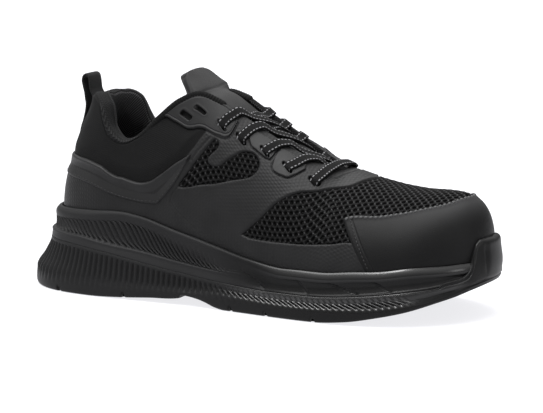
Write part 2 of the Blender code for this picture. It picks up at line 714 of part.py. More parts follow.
def build_counter(material, parts):
    """Moulded band round the heel that runs forward and up to a point on each side."""
    rows = np.array(COUNTER)
    back = rows[-1:] * np.array([0, 1, 0, 1])
    half = smooth_path(np.vstack([rows, back]), COUNTER_ROWS)
    mirrored = half[-2::-1] * np.array([-1, 1, -1, 1])
    return overlay("heel_counter", np.vstack([half, mirrored]), COUNTER_WALL, material, parts, 3)


def build_eyestays(material, parts):
    """Moulded eyelet patches beside the top of the throat."""
    lateral = np.array(EYESTAY)
    medial = lateral * np.array([-1, 1, -1, 1]) + np.array([ROUND, 0, ROUND, 0])
    return [overlay("eyestay_lateral", lateral, EYESTAY_WALL, material, parts),
            overlay("eyestay_medial", medial, EYESTAY_WALL, material, parts)]


def build_slots(cutters):
    """Slots for the lace, as one guide that cuts the upper and the eyestays."""
    bm = bmesh.new()
    for section, share in OPEN_SLOTS + LACE_SLOTS:
        for place in (section, ROUND - section):
            middle = wall_point(place, share)
            out = Vector(wall_outward(place, share))
            ahead = Vector(wall_point(place, share + 0.03) - middle).normalized()
            side = out.cross(ahead).normalized()
            turn = Matrix((ahead, side, out)).transposed().to_4x4()
            size = Matrix.Diagonal(Vector((SLOT_LENGTH, SLOT_WIDTH, SLOT_DEPTH, 1000.0)) * 0.001)
            place_at = Matrix.Translation(graded(middle))
            bmesh.ops.create_cube(bm, size=1.0, matrix=place_at @ turn @ size)
    guide = finish("slot_cutter", bm, None, cutters)
    make_guide(guide)
    return guide


def strap_path(start, finish_at, lift):
    """Route of a lace from an eyelet over the throat to the opposite edge."""
    (start_section, start_share), (end_section, end_share) = start, finish_at
    on_eyestay = side_of(start_section)[0] < EYESTAY[-1].low_section + 0.5
    clear = LACE_THICKNESS / 2 + 3 * GAP + on_eyestay * (OVERLAY_GAP + EYESTAY_WALL - GAP)
    first = wall_offset(start_section, start_share, clear)
    edge = wall_offset(start_section, 0.97, clear + 0.9)
    far = wall_offset(end_section, end_share, clear)
    far_edge = wall_offset(end_section, 0.97, clear + 0.9)
    middle = (edge + far_edge) / 2 + np.array([0, 0, lift])
    return smooth_path([first, edge, middle, far_edge, far], STRAP_STEPS)


def build_laces(material, parts, cutters):
    """Crossings of the flat lace, and the bar at its foot."""
    made = []
    for i, (section, share) in enumerate(LACE_SLOTS):
        is_bar = i == len(LACE_SLOTS) - 1
        following = section if is_bar else section + 0.4 * (LACE_SLOTS[i + 1][0] - section)
        end_share = share if is_bar else 0.93
        sideways = np.tile(wall_point(section + 0.5, 1.0) - wall_point(section, 1.0), (STRAP_STEPS, 1))
        sideways[:, 1] = 0
        near = strap_path((section, share), (ROUND - following, end_share), 2.0)
        strap = finish("lace_bar" if is_bar else f"lace_crossing_{i + 1}",
                       sweep(near, sideways, LACE_WIDTH, LACE_THICKNESS), material, parts)
        if not is_bar:
            far = strap_path((ROUND - section, share), (following, end_share), 2.6)
            crossing = sweep(far, sideways, LACE_WIDTH, LACE_THICKNESS)
            other = finish(f"lace_under_{i + 1}", crossing, None, cutters)
            make_guide(other)
            join(strap, other, "UNION")
        made.append(strap)
    return made


def build_pull_loop(material, parts):
    """Webbing loop that stands over the back of the collar."""
    foot = wall_offset(0.0, np.array(LOOP_FOOT), np.array([1.0, 1.0]) * (LOOP_THICKNESS / 2 + GAP))
    seat = wall_offset(0.0, 1.0, -COLLAR_WALL / 2) + np.array([0, 0, 3 * GAP])
    free = [(x, 0.0, z) for x, z in LOOP_PATH]
    path = smooth_path(np.vstack([foot, free, seat]), 16)
    sideways = np.tile([0.0, 1.0, 0.0], (len(path), 1))
    return finish("pull_loop", sweep(path, sideways, LOOP_WIDTH, LOOP_THICKNESS), material, parts)


def make_material(name, finish_values):
    red, green, blue, roughness = finish_values
    material = bpy.data.materials.new(name)
    material.use_nodes = True
    shader = material.node_tree.nodes["Principled BSDF"]
    shader.inputs["Base Color"].default_value = (red, green, blue, 1)
    shader.inputs["Roughness"].default_value = roughness
    shader.inputs["Metallic"].default_value = 0.0
    return material


def main():
    for obj in list(bpy.data.objects):
        bpy.data.objects.remove(obj)
    parts = bpy.data.collections.new("work_shoe")
    cutters = bpy.data.collections.new("work_shoe_cutters")
    for collection in (parts, cutters):
        bpy.context.scene.collection.children.link(collection)
    materials = {name: make_material(name, values) for name, values in FINISHES.items()}
    slots = build_slots(cutters)
    upper = build_upper(materials["upper_textile"], parts)
    build_midsole(materials["sole_foam"], parts)
    build_outsole(materials["sole_rubber"], parts)
    build_insole(materials["footbed"], parts)
    build_tongue(materials["tongue_textile"], parts)
    build_toe_cap(materials["toe_film"], parts)
    build_counter(materials["moulded_film"], parts)
    eyestays = build_eyestays(materials["moulded_film"], parts)
    for piece in [upper, *eyestays]:
        join(piece, slots, "DIFFERENCE")
    build_laces(materials["lace"], parts, cutters)
    build_pull_loop(materials["webbing"], parts)


main()
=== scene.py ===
from math import cos, hypot, pi, radians, sin

import bmesh
import bpy
import numpy as np
from mathutils import Matrix, Vector


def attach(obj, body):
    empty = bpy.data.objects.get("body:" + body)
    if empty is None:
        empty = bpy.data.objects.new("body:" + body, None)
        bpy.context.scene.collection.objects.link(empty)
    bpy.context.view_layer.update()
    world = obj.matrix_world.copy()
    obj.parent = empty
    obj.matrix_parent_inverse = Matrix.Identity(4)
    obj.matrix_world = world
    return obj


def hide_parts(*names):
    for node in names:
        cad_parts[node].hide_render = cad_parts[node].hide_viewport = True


# Black low-cut lace-up safety shoe, right foot. The pattern is in millimetres from the back of the heel,
# lateral side at negative y, and goes to the frame's metres only when a mesh is made.

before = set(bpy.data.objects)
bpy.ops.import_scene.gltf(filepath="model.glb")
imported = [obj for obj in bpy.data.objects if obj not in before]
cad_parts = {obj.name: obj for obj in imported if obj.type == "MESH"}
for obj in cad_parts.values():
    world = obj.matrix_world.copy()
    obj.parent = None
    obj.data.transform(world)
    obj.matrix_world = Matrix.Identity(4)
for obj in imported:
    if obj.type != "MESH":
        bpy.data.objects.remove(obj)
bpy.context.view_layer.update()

pattern = {
    "middle": (153.478, -0.817),        # pattern point over the frame's origin
    "grade": (307.0 / 304.485, 111.0 / 109.993),
    # outline x, lateral y, medial y, then the top edge: x, z, middle y, half gap
    "sections": np.array([
        (19.5, 0.0, 0.0, 39.0, 120.0, 0.0, 0.0),        # heel back
        (23.0, -13.5, 13.5, 42.0, 120.5, 0.0, 12.0),
        (33.0, -24.5, 24.5, 48.5, 120.5, 0.0, 20.5),
        (48.0, -31.0, 30.5, 58.0, 115.5, 0.0, 26.5),    # collar shoulder
        (62.0, -34.0, 32.0, 66.0, 102.0, 0.0, 30.0),
        (76.0, -35.3, 32.0, 76.0, 95.5, 0.0, 31.0),     # ankle
        (91.0, -36.0, 31.5, 87.0, 100.0, 0.0, 30.3),
        (106.0, -37.0, 31.0, 99.0, 111.5, 0.0, 28.0),
        (120.0, -38.0, 31.0, 111.0, 122.0, 0.0, 24.0),
        (133.0, -39.3, 31.5, 122.0, 126.5, 0.0, 20.3),  # top of the eyestay
        (145.0, -41.0, 32.5, 133.0, 123.0, 0.0, 17.5),
        (158.0, -43.0, 34.5, 146.0, 114.5, 0.3, 16.0),
        (172.0, -45.0, 37.5, 161.0, 105.5, 0.6, 15.0),
        (187.0, -47.0, 41.0, 178.0, 95.5, 1.0, 13.5),
        (203.0, -48.5, 44.5, 197.0, 86.0, 1.5, 9.5),
        (218.0, -48.7, 46.5, 212.0, 80.8, 2.0, 0.0),    # end of the throat
        (234.0, -47.5, 47.0, 228.0, 77.3, 3.0, 0.0),
        (252.0, -43.5, 45.0, 244.0, 74.2, 4.0, 0.0),
        (269.0, -36.5, 39.5, 258.0, 73.0, 4.5, 0.0),
        (283.0, -26.0, 31.0, 268.0, 73.2, 5.0, 0.0),
        (293.0, -13.0, 20.5, 275.0, 73.0, 5.0, 0.0),
        (297.0, 4.0, 4.0, 279.0, 72.3, 5.0, 0.0)]),     # toe tip
    # fullness of a section's curve: section, rise, lean, pull, drop, puff
    "fullness": np.array([
        (0, 0.45, 4.0, 0.00, 0.30, 1.0), (2, 0.40, 4.0, 0.00, 0.30, 2.0), (5, 0.40, 4.5, 0.10, 0.30, 2.5),
        (8, 0.40, 5.0, 0.25, 0.25, 3.0), (11, 0.40, 3.5, 0.42, 0.14, 2.0), (13, 0.42, 3.0, 0.48, 0.05, 1.0),
        (15, 0.50, 3.0, 0.55, 0.00, 0.0), (17, 0.55, 4.0, 0.62, 0.00, 0.0), (19, 0.60, 4.5, 0.72, 0.00, 0.0),
        (21, 0.64, 4.5, 0.80, 0.00, 0.0)]),
    "footbed": ((15, 37), (60, 36.5), (100, 33), (140, 26.5), (180, 21), (215, 20), (250, 22.5), (285, 27.5),
                (300, 31)),
    "rim": ((10, 47.5), (30, 49), (54, 50.5), (77, 52), (90, 50.5), (117, 43.5), (148, 36.2), (167, 31.9),
            (192, 28.6), (217, 28.6), (247, 31.3), (272, 33.6), (300, 35)),
    "wall": 2.6, "collarWall": 6.0, "heelPadding": 4.0, "paddingEnd": 8.4,
    # bells cut off the top edge: share, section, reach; then how far the heel's skin sits in from the pattern
    "medialCuts": ((0.052, 9.2, 1.5), (0.050, 3.75, 0.55), (0.018, 1.9, 0.8)), "lateralCuts": ((0.014, 10.2, 0.9),),
    "heelCuts": ((0.015, 0.0, 1.0),), "heelTuck": {"all": 0.9, "foot": 0.6, "top": 3.4, "reach": 2.2},
}
lastSection = len(pattern["sections"]) - 1
wholeRound = 2 * lastSection


# Curves through tables

def closedCurve(knots, values, query, period):  # cubic with matching slope and curvature all the way round
    knots = np.append(np.asarray(knots, float), knots[0] + period)
    values = np.vstack([values, values[:1]])
    query = knots[0] + np.mod(np.asarray(query, float) - knots[0], period)
    count = len(knots)
    step = np.diff(knots)
    slope = np.diff(values, axis=0) / step[:, None]
    system = np.zeros((count, count))
    load = np.zeros_like(values)
    for i in range(1, count - 1):
        system[i, i - 1:i + 2] = step[i - 1], 2 * (step[i - 1] + step[i]), step[i]
        load[i] = 6 * (slope[i] - slope[i - 1])
    system[0, 0], system[0, 1], system[0, -2] = 2 * (step[0] + step[-1]), step[0], step[-1]
    load[0] = 6 * (slope[0] - slope[-1])
    system[-1, 0], system[-1, -1] = 1, -1
    bend = np.linalg.solve(system, load)
    i = np.clip(np.searchsorted(knots, query, side="right") - 1, 0, count - 2)
    width = step[i][..., None]
    past = query[..., None] - knots[i][..., None]
    left = width - past
    cubic = (bend[i] * left ** 3 + bend[i + 1] * past ** 3) / (6 * width)
    cubic += (values[i] / width - bend[i] * width / 6) * left
    return cubic + (values[i + 1] / width - bend[i + 1] * width / 6) * past


def hermite(t, first, second, width, slopeA, slopeB):  # cubic with given ends and end slopes, t from 0 to 1
    start = (2 * t ** 3 - 3 * t ** 2 + 1) * first + (t ** 3 - 2 * t ** 2 + t) * width * slopeA
    return start + (3 * t ** 2 - 2 * t ** 3) * second + (t ** 3 - t ** 2) * width * slopeB


def steady(knots, values, query):
    # cubic pieces whose slopes are weighted harmonic means, so none swings past the values
    knots, values = np.asarray(knots, float), np.asarray(values, float)
    query = np.clip(np.asarray(query, float), knots[0], knots[-1])
    step = np.diff(knots)
    slope = np.diff(values) / step
    before, after = slope[:-1], slope[1:]
    sameWay = before * after > 0
    weightA, weightB = 2 * step[1:] + step[:-1], step[1:] + 2 * step[:-1]
    mean = (weightA + weightB) / (weightA / np.where(sameWay, before, 1) + weightB / np.where(sameWay, after, 1))
    tangent = np.concatenate([slope[:1], np.where(sameWay, mean, 0), slope[-1:]])
    i = np.clip(np.searchsorted(knots, query, side="right") - 1, 0, len(knots) - 2)
    t = (query - knots[i]) / step[i]
    return hermite(t, values[i], values[i + 1], step[i], tangent[i], tangent[i + 1])


def along(table, x):  # value at x of (x, value) pairs
    return steady([row[0] for row in table], [row[1] for row in table], x)


def ease(low, high, x):  # 0 below low, 1 above high, between them three squares less two cubes
    t = np.clip((np.asarray(x, float) - low) / (high - low), 0, 1)
    return t * t * (3 - 2 * t)


def bell(x, middle, width):  # 1 at the middle, e to the minus square of the distance over the width
    return np.exp(-((x - middle) / width) ** 2)


def quarterRound(x, radius):  # height of a quarter circle: 0 at 0, 1 from the radius on
    return np.sqrt(np.clip(1 - (1 - np.clip(x / radius, 0, 1)) ** 2, 0, 1))


def signedPower(x, power):  # size raised to a power, sign kept
    return np.sign(x) * np.abs(x) ** power


def unit(v):  # a vector over its own length
    return v / np.maximum(np.linalg.norm(v, axis=-1, keepdims=True), 1e-9)


def runLengths(points, axis):  # distance gone along a grid from its first row or column: running sum of its steps
    step = np.linalg.norm(np.diff(points, axis=axis), axis=-1)
    first = np.zeros_like(np.take(step, [0], axis=axis))
    return np.concatenate([first, np.cumsum(step, axis=axis)], axis=axis)


def softLine(points, count):  # evenly spaced points of a soft curve through a few chosen ones
    points = np.asarray(points, float)
    run = runLengths(points, 0)
    goals = np.linspace(0, run[-1], count)
    return np.stack([steady(run, points[:, k], goals) for k in range(points.shape[1])], -1)


# The wall of the upper: section 0 is the heel back, 21 the toe tip, past it the medial side; share 0 is the footbed

def foldSection(section):  # past the toe, the whole round less the section; side is -1 lateral and 1 medial
    section = np.mod(np.asarray(section, float), wholeRound)
    past = section > lastSection
    return np.where(past, wholeRound - section, section), np.where(past, 1.0, -1.0)


def evenColumn(values, knots, folded):  # curve through a column carried on past heel and toe as its mirror image
    allKnots = np.concatenate([-knots[2:0:-1], knots, wholeRound - knots[-2:-4:-1]])
    return steady(allKnots, np.concatenate([values[2:0:-1], values, values[-2:-4:-1]]), folded)


def footPoint(section):  # closed curve through the outline's lateral points to the toe and its medial points back
    table = pattern["sections"]
    outline = np.vstack([table[:, [0, 1]], table[-2:0:-1][:, [0, 2]]])
    return closedCurve(np.arange(wholeRound), outline, section, wholeRound)


def footOutward(section):  # level direction out of the outline: its tangent turned a quarter
    ahead = unit(footPoint(np.asarray(section) + 0.01) - footPoint(np.asarray(section) - 0.01))
    return np.stack([ahead[..., 1], -ahead[..., 0], np.zeros_like(ahead[..., 0])], -1)


def topPoint(section):  # curves through the top edge's x, z and middle y, and half the gap added to its side
    table = pattern["sections"]
    folded, side = foldSection(section)
    x, z, mid = (evenColumn(table[:, k], np.arange(lastSection + 1), folded) for k in (3, 4, 5))
    halfGap = steady(np.arange(-2, lastSection + 1), np.concatenate([-table[2:0:-1, 6], table[:, 6]]), folded)
    return np.stack([x, mid + side * np.maximum(halfGap, 0), z], -1)


def wallPoint(section, share):  # cubic from footbed to top edge, steered by two points from the fullness table
    section, share = np.broadcast_arrays(np.asarray(section, float), np.asarray(share, float))
    folded, _ = foldSection(section)
    plan = footPoint(section)
    foot = np.concatenate([plan, along(pattern["footbed"], plan[..., 0])[..., None]], -1)
    top = topPoint(section)
    table = pattern["fullness"]
    rise, lean, pull, drop, puff = (evenColumn(table[:, k], table[:, 0], folded)[..., None] for k in range(1, 6))
    out = footOutward(section)
    up = np.array([0.0, 0.0, 1.0])
    height = (top - foot)[..., 2:]
    low = foot + up * rise * height + out * lean
    high = top + (foot - top) * np.array([1, 1, 0]) * pull - up * drop * height + out * puff
    t = share[..., None]
    return (1 - t) ** 3 * foot + 3 * (1 - t) ** 2 * t * low + 3 * (1 - t) * t * t * high + t ** 3 * top


def wallOutward(section, share):  # cross product of the wall's steps along the shoe and up the section
    section, share = np.broadcast_arrays(np.asarray(section, float), np.asarray(share, float))
    nudge = 0.002
    ahead = wallPoint(section + nudge, share) - wallPoint(section - nudge, share)
    rising = wallPoint(section, np.minimum(share + nudge, 1)) - wallPoint(section, np.maximum(share - nudge, 0))
    return unit(np.cross(ahead, rising))


def wallOffset(section, share, distance):  # wall point plus the outward direction times a distance
    return wallPoint(section, share) + wallOutward(section, share) * np.asarray(distance, float)[..., None]


def heelTuck(section, share):  # a bell round the heel times a depth that is greatest at the collar's top
    tuck = pattern["heelTuck"]
    depth = tuck["all"] + tuck["foot"] * (1 - ease(0.10, 0.35, share)) + tuck["top"] * ease(0.72, 0.97, share)
    return depth * bell(foldSection(section)[0], 0, tuck["reach"])


def skinPoint(section, share, distance):  # on the visible skin of the upper, or this far out of it
    return wallOffset(section, share, distance - heelTuck(section, share))


def topShare(section):  # share at which the edge is cut: 1 less the bells of its side and of the heel
    folded, side = foldSection(section)
    medial, lateral, heel = (sum(depth * bell(folded, at, reach) for depth, at, reach in pattern[key])
                             for key in ("medialCuts", "lateralCuts", "heelCuts"))
    return 1 - np.where(side > 0, medial, lateral) - heel


def wallThickness(section, share):  # padding round the collar, easing to the plain wall
    folded, _ = foldSection(section)
    alongCollar = np.clip((pattern["paddingEnd"] - folded) / 2.0, 0, 1)
    padding = pattern["collarWall"] - pattern["wall"] + pattern["heelPadding"] * (1 - ease(3.4, 5.2, folded))
    return pattern["wall"] + padding * alongCollar * ease(0.45, 0.85, share)


def shareAtHeight(section, height):  # share read off each section's own heights over its lower part
    shares = np.linspace(0, 0.6, 121)
    heights = wallPoint(np.asarray(section)[:, None], shares[None, :])[..., 2]
    return np.array([np.interp(goal, row, shares) for goal, row in zip(height, heights)])


def spacedSections(start, end, count):  # sections evenly spaced along the outline
    dense = np.linspace(start, end, 6001)
    run = runLengths(footPoint(dense), 0)
    return np.interp(np.linspace(0, run[-1], count), run, dense)


def flatPoint(section, share):  # millimetres along the shoe, and millimetres below the top edge along the section
    section, share = np.asarray(section, float), np.asarray(share, float)
    steps = np.linspace(0, 1, 40)
    line = wallPoint(section[..., None], share[..., None] + (1 - share[..., None]) * steps)
    below = np.linalg.norm(np.diff(line, axis=-2), axis=-1).sum(axis=-1)
    return np.stack([line[..., 0, 0], below], -1)


def flatLine(corners):  # corners in section and share, taken to the flat map
    return flatPoint(*np.array(corners).T)


def lineDistance(line, flat):
    # least distance to an open line: to each segment's foot of the normal, kept between its ends
    best = np.full(flat.shape[:-1], 1e9)
    px, py = flat[..., 0], flat[..., 1]
    for (ax, ay), (bx, by) in zip(line[:-1], line[1:]):
        dx, dy = bx - ax, by - ay
        t = np.clip(((px - ax) * dx + (py - ay) * dy) / (dx * dx + dy * dy + 1e-12), 0, 1)
        best = np.minimum(best, np.hypot(px - ax - t * dx, py - ay - t * dy))
    return best


def insideDistance(outline, flat):
    # distance to a closed outline, positive where a level ray crosses it an odd number of times
    closed = np.vstack([outline, outline[:1]])
    crossings = np.zeros(flat.shape[:-1], int)
    px, py = flat[..., 0], flat[..., 1]
    for (ax, ay), (bx, by) in zip(closed[:-1], closed[1:]):
        rise = by - ay if abs(by - ay) > 1e-9 else 1e-9
        crossings += ((ay > py) != (by > py)) & (px < ax + (py - ay) * (bx - ax) / rise)
    return lineDistance(closed, flat) * np.where(crossings % 2 == 1, 1, -1)


def roundedOutline(corners, count=160):  # soft closed curve through corners given in section and share
    points = flatLine(corners)
    run = runLengths(np.vstack([points, points[:1]]), 0)
    return closedCurve(run[:-1], points, np.linspace(0, run[-1], count, endpoint=False), run[-1])


# Meshes

def place(points):  # pattern millimetres to the frame's metres
    points = np.asarray(points, float)
    (midX, midY), (gradeX, gradeY) = pattern["middle"], pattern["grade"]
    return np.stack([(points[..., 0] - midX) * gradeX, (points[..., 1] - midY) * gradeY, points[..., 2]], -1) * 0.001


def mergeClose(mesh, distance=2e-7):  # close poles and seams: points nearer than a fifth of a micron become one
    bm = bmesh.new()
    bm.from_mesh(mesh)
    bmesh.ops.remove_doubles(bm, verts=bm.verts, dist=distance)
    bm.to_mesh(mesh)
    bm.free()


def meshPiece(name, verts, faces, finish, uv=None, attributes=None, standsFor=(), slot=None, merge=False):
    # whole arrays of points and four-cornered faces put into one mesh, then its body and replaced nodes; slot is not
    # used
    mesh = bpy.data.meshes.new(name)
    mesh.vertices.add(len(verts))
    mesh.vertices.foreach_set("co", np.ascontiguousarray(verts, np.float32).ravel())
    mesh.loops.add(faces.size)
    mesh.loops.foreach_set("vertex_index", np.ascontiguousarray(faces, np.int32).ravel())
    mesh.polygons.add(len(faces))
    mesh.polygons.foreach_set("loop_start", np.arange(0, faces.size, 4, dtype=np.int32))
    mesh.polygons.foreach_set("use_smooth", np.ones(len(faces), bool))
    mesh.update(calc_edges=True)
    if uv is not None:
        mesh.uv_layers.new(name="flat").data.foreach_set("uv", np.ascontiguousarray(uv, np.float32).ravel())
    for key, values in (attributes or {}).items():
        mesh.attributes.new(key, "FLOAT", "POINT").data.foreach_set("value", np.ascontiguousarray(values, np.float32))
    mesh.validate()
    if merge:
        mergeClose(mesh)
    mesh.materials.append(finish)
    piece = bpy.data.objects.new(name, mesh)
    bpy.context.scene.collection.objects.link(piece)
    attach(piece, "root")
    if standsFor:
        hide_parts(*standsFor)
    print("made", name, 2 * len(faces), "triangles")
    return piece


def gridFaces(rows, cols, around=False, flip=False):  # each cell's corners: here, next column, the same two a row on
    r, c = np.meshgrid(np.arange(rows - 1), np.arange(cols if around else cols - 1), indexing="ij")
    here, ahead = r * cols + c, r * cols + (c + 1) % cols
    corners = np.stack([here, ahead, ahead + cols, here + cols], -1).reshape(-1, 4)
    return corners[:, ::-1] if flip else corners


def gridPiece(name, points, finish, around=False, flip=False, flat=None, keep=None, attributes=None, **more):
    # a surface given point by point in rows and columns; keep marks the points whose faces stay
    rows, cols = points.shape[:2]
    if flat is None:
        closed = np.concatenate([points, points[:, :1]], axis=1) if around else points
        flat = np.stack([runLengths(closed, 1), runLengths(closed, 0)], -1)
    elif around:
        flat = np.concatenate([flat, flat[:, :1]], axis=1)
    faces = gridFaces(rows, cols, around, flip)
    corners = gridFaces(rows, flat.shape[1], False, flip)
    verts = place(points).reshape(-1, 3)
    marks = {key: np.broadcast_to(values, (rows, cols)).ravel() for key, values in (attributes or {}).items()}
    if keep is not None:
        stays = keep.ravel()[faces].all(axis=1)
        corners = corners[stays]
        used, faces = np.unique(faces[stays], return_inverse=True)
        faces, verts = faces.reshape(-1, 4), verts[used]
        marks = {key: values[used] for key, values in marks.items()}
    return meshPiece(name, verts, faces, finish, uv=flat.reshape(-1, 2)[corners], attributes=marks, **more)


def skinRings(rings, rowsPerSpan):  # soft surface through key rings: cubic in the mean distance between them
    rings = np.asarray(rings)
    gap = np.maximum(np.linalg.norm(np.diff(rings, axis=0), axis=-1).mean(axis=1), 1e-6)
    slope = np.diff(rings, axis=0) / gap[:, None, None]
    wa, wb = gap[1:, None, None], gap[:-1, None, None]
    tangent = np.concatenate([slope[:1], (slope[:-1] * wa + slope[1:] * wb) / (wa + wb), slope[-1:]])
    rows = []
    for j, count in enumerate(rowsPerSpan):
        t = (np.arange(count) / count)[:, None, None]
        rows.append(hermite(t, rings[j], rings[j + 1], gap[j], tangent[j], tangent[j + 1]))
    return np.concatenate(rows + [rings[-1:]])


def bandSurface(path, outward, width, thickness, count=20, power=0.35):
    # flat band carried along a path: at each point a rounded rectangle, cos and sin raised to a small power
    ahead = unit(np.gradient(path, axis=0))
    across = unit(np.cross(ahead, outward))
    up = np.cross(across, ahead)
    turn = np.arange(count) / count * 2 * pi
    c, s = signedPower(np.cos(turn), power), signedPower(np.sin(turn), power)
    wide, thick = (np.broadcast_to(np.asarray(size, float), len(path))[:, None, None] / 2
                   for size in (width, thickness))
    points = path[:, None] + across[:, None] * c[None, :, None] * wide + up[:, None] * s[None, :, None] * thick
    ends = [np.broadcast_to(points[i].mean(axis=0), points[:1].shape) for i in (0, -1)]
    return np.concatenate([ends[0], points, ends[1]]), c, s


def bandPiece(name, path, outward, width, thickness, finish, count=20, power=0.35, **more):
    # band whose map is the run along its middle and the place across its width
    points, c, s = bandSurface(path, outward, width, thickness, count, power)
    flat = np.stack([np.broadcast_to(runLengths(points.mean(axis=1), 0)[:, None], points.shape[:2]),
                     np.broadcast_to(c * np.max(width) / 2, points.shape[:2])], -1)
    return gridPiece(name, points, finish, around=True, flip=True, flat=flat,
                     attributes={"across": c[None], "topFace": s[None]}, merge=True, **more)


def grainPiece(name, path, outward, grain, finish, slant=0.0, **more):
    # rounded grains (pitch, length, width, height) at even steps along a path, each an ellipsoid lying in the surface
    pitch, length, width, height = grain
    run = runLengths(path, 0)
    goals = np.arange(pitch / 2, run[-1], pitch)
    centre, out, ahead = (np.stack([np.interp(goals, run, f[:, k]) for k in range(3)], -1)
                          for f in (path, outward, np.gradient(path, axis=0)))
    out, ahead = unit(out), unit(ahead)
    across = unit(np.cross(out, ahead))
    ahead = np.cross(across, out)
    ahead, across = ahead * cos(slant) + across * sin(slant), across * cos(slant) - ahead * sin(slant)
    rows = 6  # as many columns too
    tilt, turn = np.linspace(0, pi, rows)[:, None], (np.arange(rows) / rows * 2 * pi)[None, :]
    a = np.cos(tilt) * length / 2 + 0 * turn
    b, c = np.sin(tilt) * np.cos(turn) * width / 2, np.sin(tilt) * np.sin(turn) * height
    points = centre[:, None, None]
    for way, size in ((ahead, a), (across, b), (out, c)):
        points = points + way[:, None, None] * size[..., None]
    faces = gridFaces(rows, rows, True, True)[None] + (np.arange(len(goals)) * rows * rows)[:, None, None]
    return meshPiece(name, place(points).reshape(-1, 3), faces.reshape(-1, 4), finish, merge=True, **more)


# Finishes

shades = {  # darkest and palest grey of each finish, linear; the toe's painted top highlight is that many times its palest
    # the greys for holes in the film, in the mesh and in the sole's notches are painted shade, near black where they
    # lie in shadow; the mesh's glint grey is a painted highlight; the tongue's low grey is painted shade under the
    # lacing
    "film": (0.0072, 0.0098), "collarKnit": (0.0014, 0.0056), "rollKnit": (0.0022, 0.0150), "holeShade": 0.0006,
    "meshYarn": (0.0010, 0.0042), "meshPaintedGlint": 0.0360, "meshHoleShade": 0.0002, "toeTopHighlight": 4.2,
    "liningLoops": (0.0100, 0.1000), "liningRoll": (0.0030, 0.0125), "tonguePanel": (0.0160, 0.0215),
    "tongueWarmth": 0.012, "tongueLaceShade": 0.0035, "tongueLoops": (0.0012, 0.012), "lace": (0.0010, 0.0042),
    "laceLine": 0.16, "webbing": (0.0055, 0.0150), "soleNotchShade": 0.0002, "footbed": (0.004, 0.012),
}


class Wire:  # a socket that takes part in sums
    def __init__(self, sheet, socket):
        self.sheet, self.socket = sheet, socket

    def sum(self, operation, *values):
        return self.sheet.node("ShaderNodeMath", {"operation": operation}, dict(enumerate(values)))

    def __add__(self, other): return self.sum("ADD", self, other)
    def __radd__(self, other): return self.sum("ADD", other, self)
    def __sub__(self, other): return self.sum("SUBTRACT", self, other)
    def __rsub__(self, other): return self.sum("SUBTRACT", other, self)
    def __mul__(self, other): return self.sum("MULTIPLY", self, other)
    def __rmul__(self, other): return self.sum("MULTIPLY", other, self)
    def __truediv__(self, other): return self.sum("DIVIDE", self, other)
    def __abs__(self): return self.sum("ABSOLUTE", self)
    def __mod__(self, other): return self.sum("FLOORED_MODULO", self, other)
    def cosine(self): return self.sum("COSINE", self)
    def halved(self): return self * 0.5 + 0.5  # from -1 to 1 taken to 0 to 1

    def ease(self, low, high):  # 0 below low, 1 above high, with soft ends
        return self.sheet.node("ShaderNodeMapRange", {"interpolation_type": "SMOOTHSTEP"},
                               {"Value": self, "From Min": low, "From Max": high})


class Sheet:  # a node tree, and the one way to put nodes into it
    def __init__(self, tree):
        self.tree = tree

    def node(self, kind, settings=None, inputs=None, output=0):  # settings first, then values or links of its sockets
        made = self.tree.nodes.new(kind)
        for key, value in (settings or {}).items():
            setattr(made, key, value)
        for key, value in (inputs or {}).items():
            if isinstance(value, Wire):
                self.tree.links.new(value.socket, made.inputs[key])
            else:
                made.inputs[key].default_value = value
        return Wire(self, made.outputs[output])

    def link(self, shader, **wires):  # values that change over the surface
        for key, wire in wires.items():
            self.tree.links.new(wire.socket, self.tree.nodes[shader].inputs[key.replace("_", " ")])


class Finish(Sheet):  # one material: a Principled shader and the nodes that feed it
    def __init__(self, name, **fixed):
        self.material = bpy.data.materials.new(name)
        self.material.use_nodes = True
        super().__init__(self.material.node_tree)
        for key, value in fixed.items():
            self.tree.nodes["Principled BSDF"].inputs[key.replace("_", " ")].default_value = value

    def flat(self):  # the piece's own map, in millimetres
        uv = self.node("ShaderNodeUVMap", {"uv_map": "flat"})
        return self.node("ShaderNodeSeparateXYZ", {}, {0: uv}), self.node("ShaderNodeSeparateXYZ", {}, {0: uv}, 1)

    def value(self, name):  # a number stored at the mesh's points
        return self.node("ShaderNodeAttribute", {"attribute_name": name}, {}, "Fac")

    def noise(self, scale, detail=3.0, roughness=0.5):  # scale in lumps per metre
        spot = self.node("ShaderNodeTexCoord", {}, {}, "Object")
        return self.node("ShaderNodeTexNoise", {},
                         {"Vector": spot, "Scale": scale, "Detail": detail, "Roughness": roughness})

    def mix(self, share, first, second):  # colours: first times one less the share, plus second times the share
        return self.node("ShaderNodeMix", {"data_type": "RGBA"}, {0: share, 6: first, 7: second}, 2)

    def shade(self, share, dark, light):  # between two greys
        return self.mix(share, grey(dark), grey(light))

    def bump(self, height, distance, strength=1.0):  # height from 0 to 1, distance in metres
        return self.node("ShaderNodeBump", {}, {"Height": height, "Distance": distance, "Strength": strength})

    def feed(self, **wires):
        self.link("Principled BSDF", **wires)
        return self.material


def grey(level, warm=0.0):  # linear grey a little to the blue; warm raises its red and lowers its blue
    return (level * (1 + warm), level, level * (1.03 - warm), 1.0)


def honeycomb(u, v, pitch):  # three cosines a third of a turn apart, 0 to 1, brightest at cell middles
    slant = 0.866  # half the root of three
    k = 2 * pi / (pitch * slant)
    total = (u * k).cosine() + ((u * 0.5 + v * slant) * k).cosine() + ((u * 0.5 - v * slant) * k).cosine()
    return (total + 1.5) / 4.5


def loopRows(u, v):  # two slanting cosines added, 0 to 1
    return ((u + v).cosine() + (u - v).cosine()) * 0.25 + 0.5


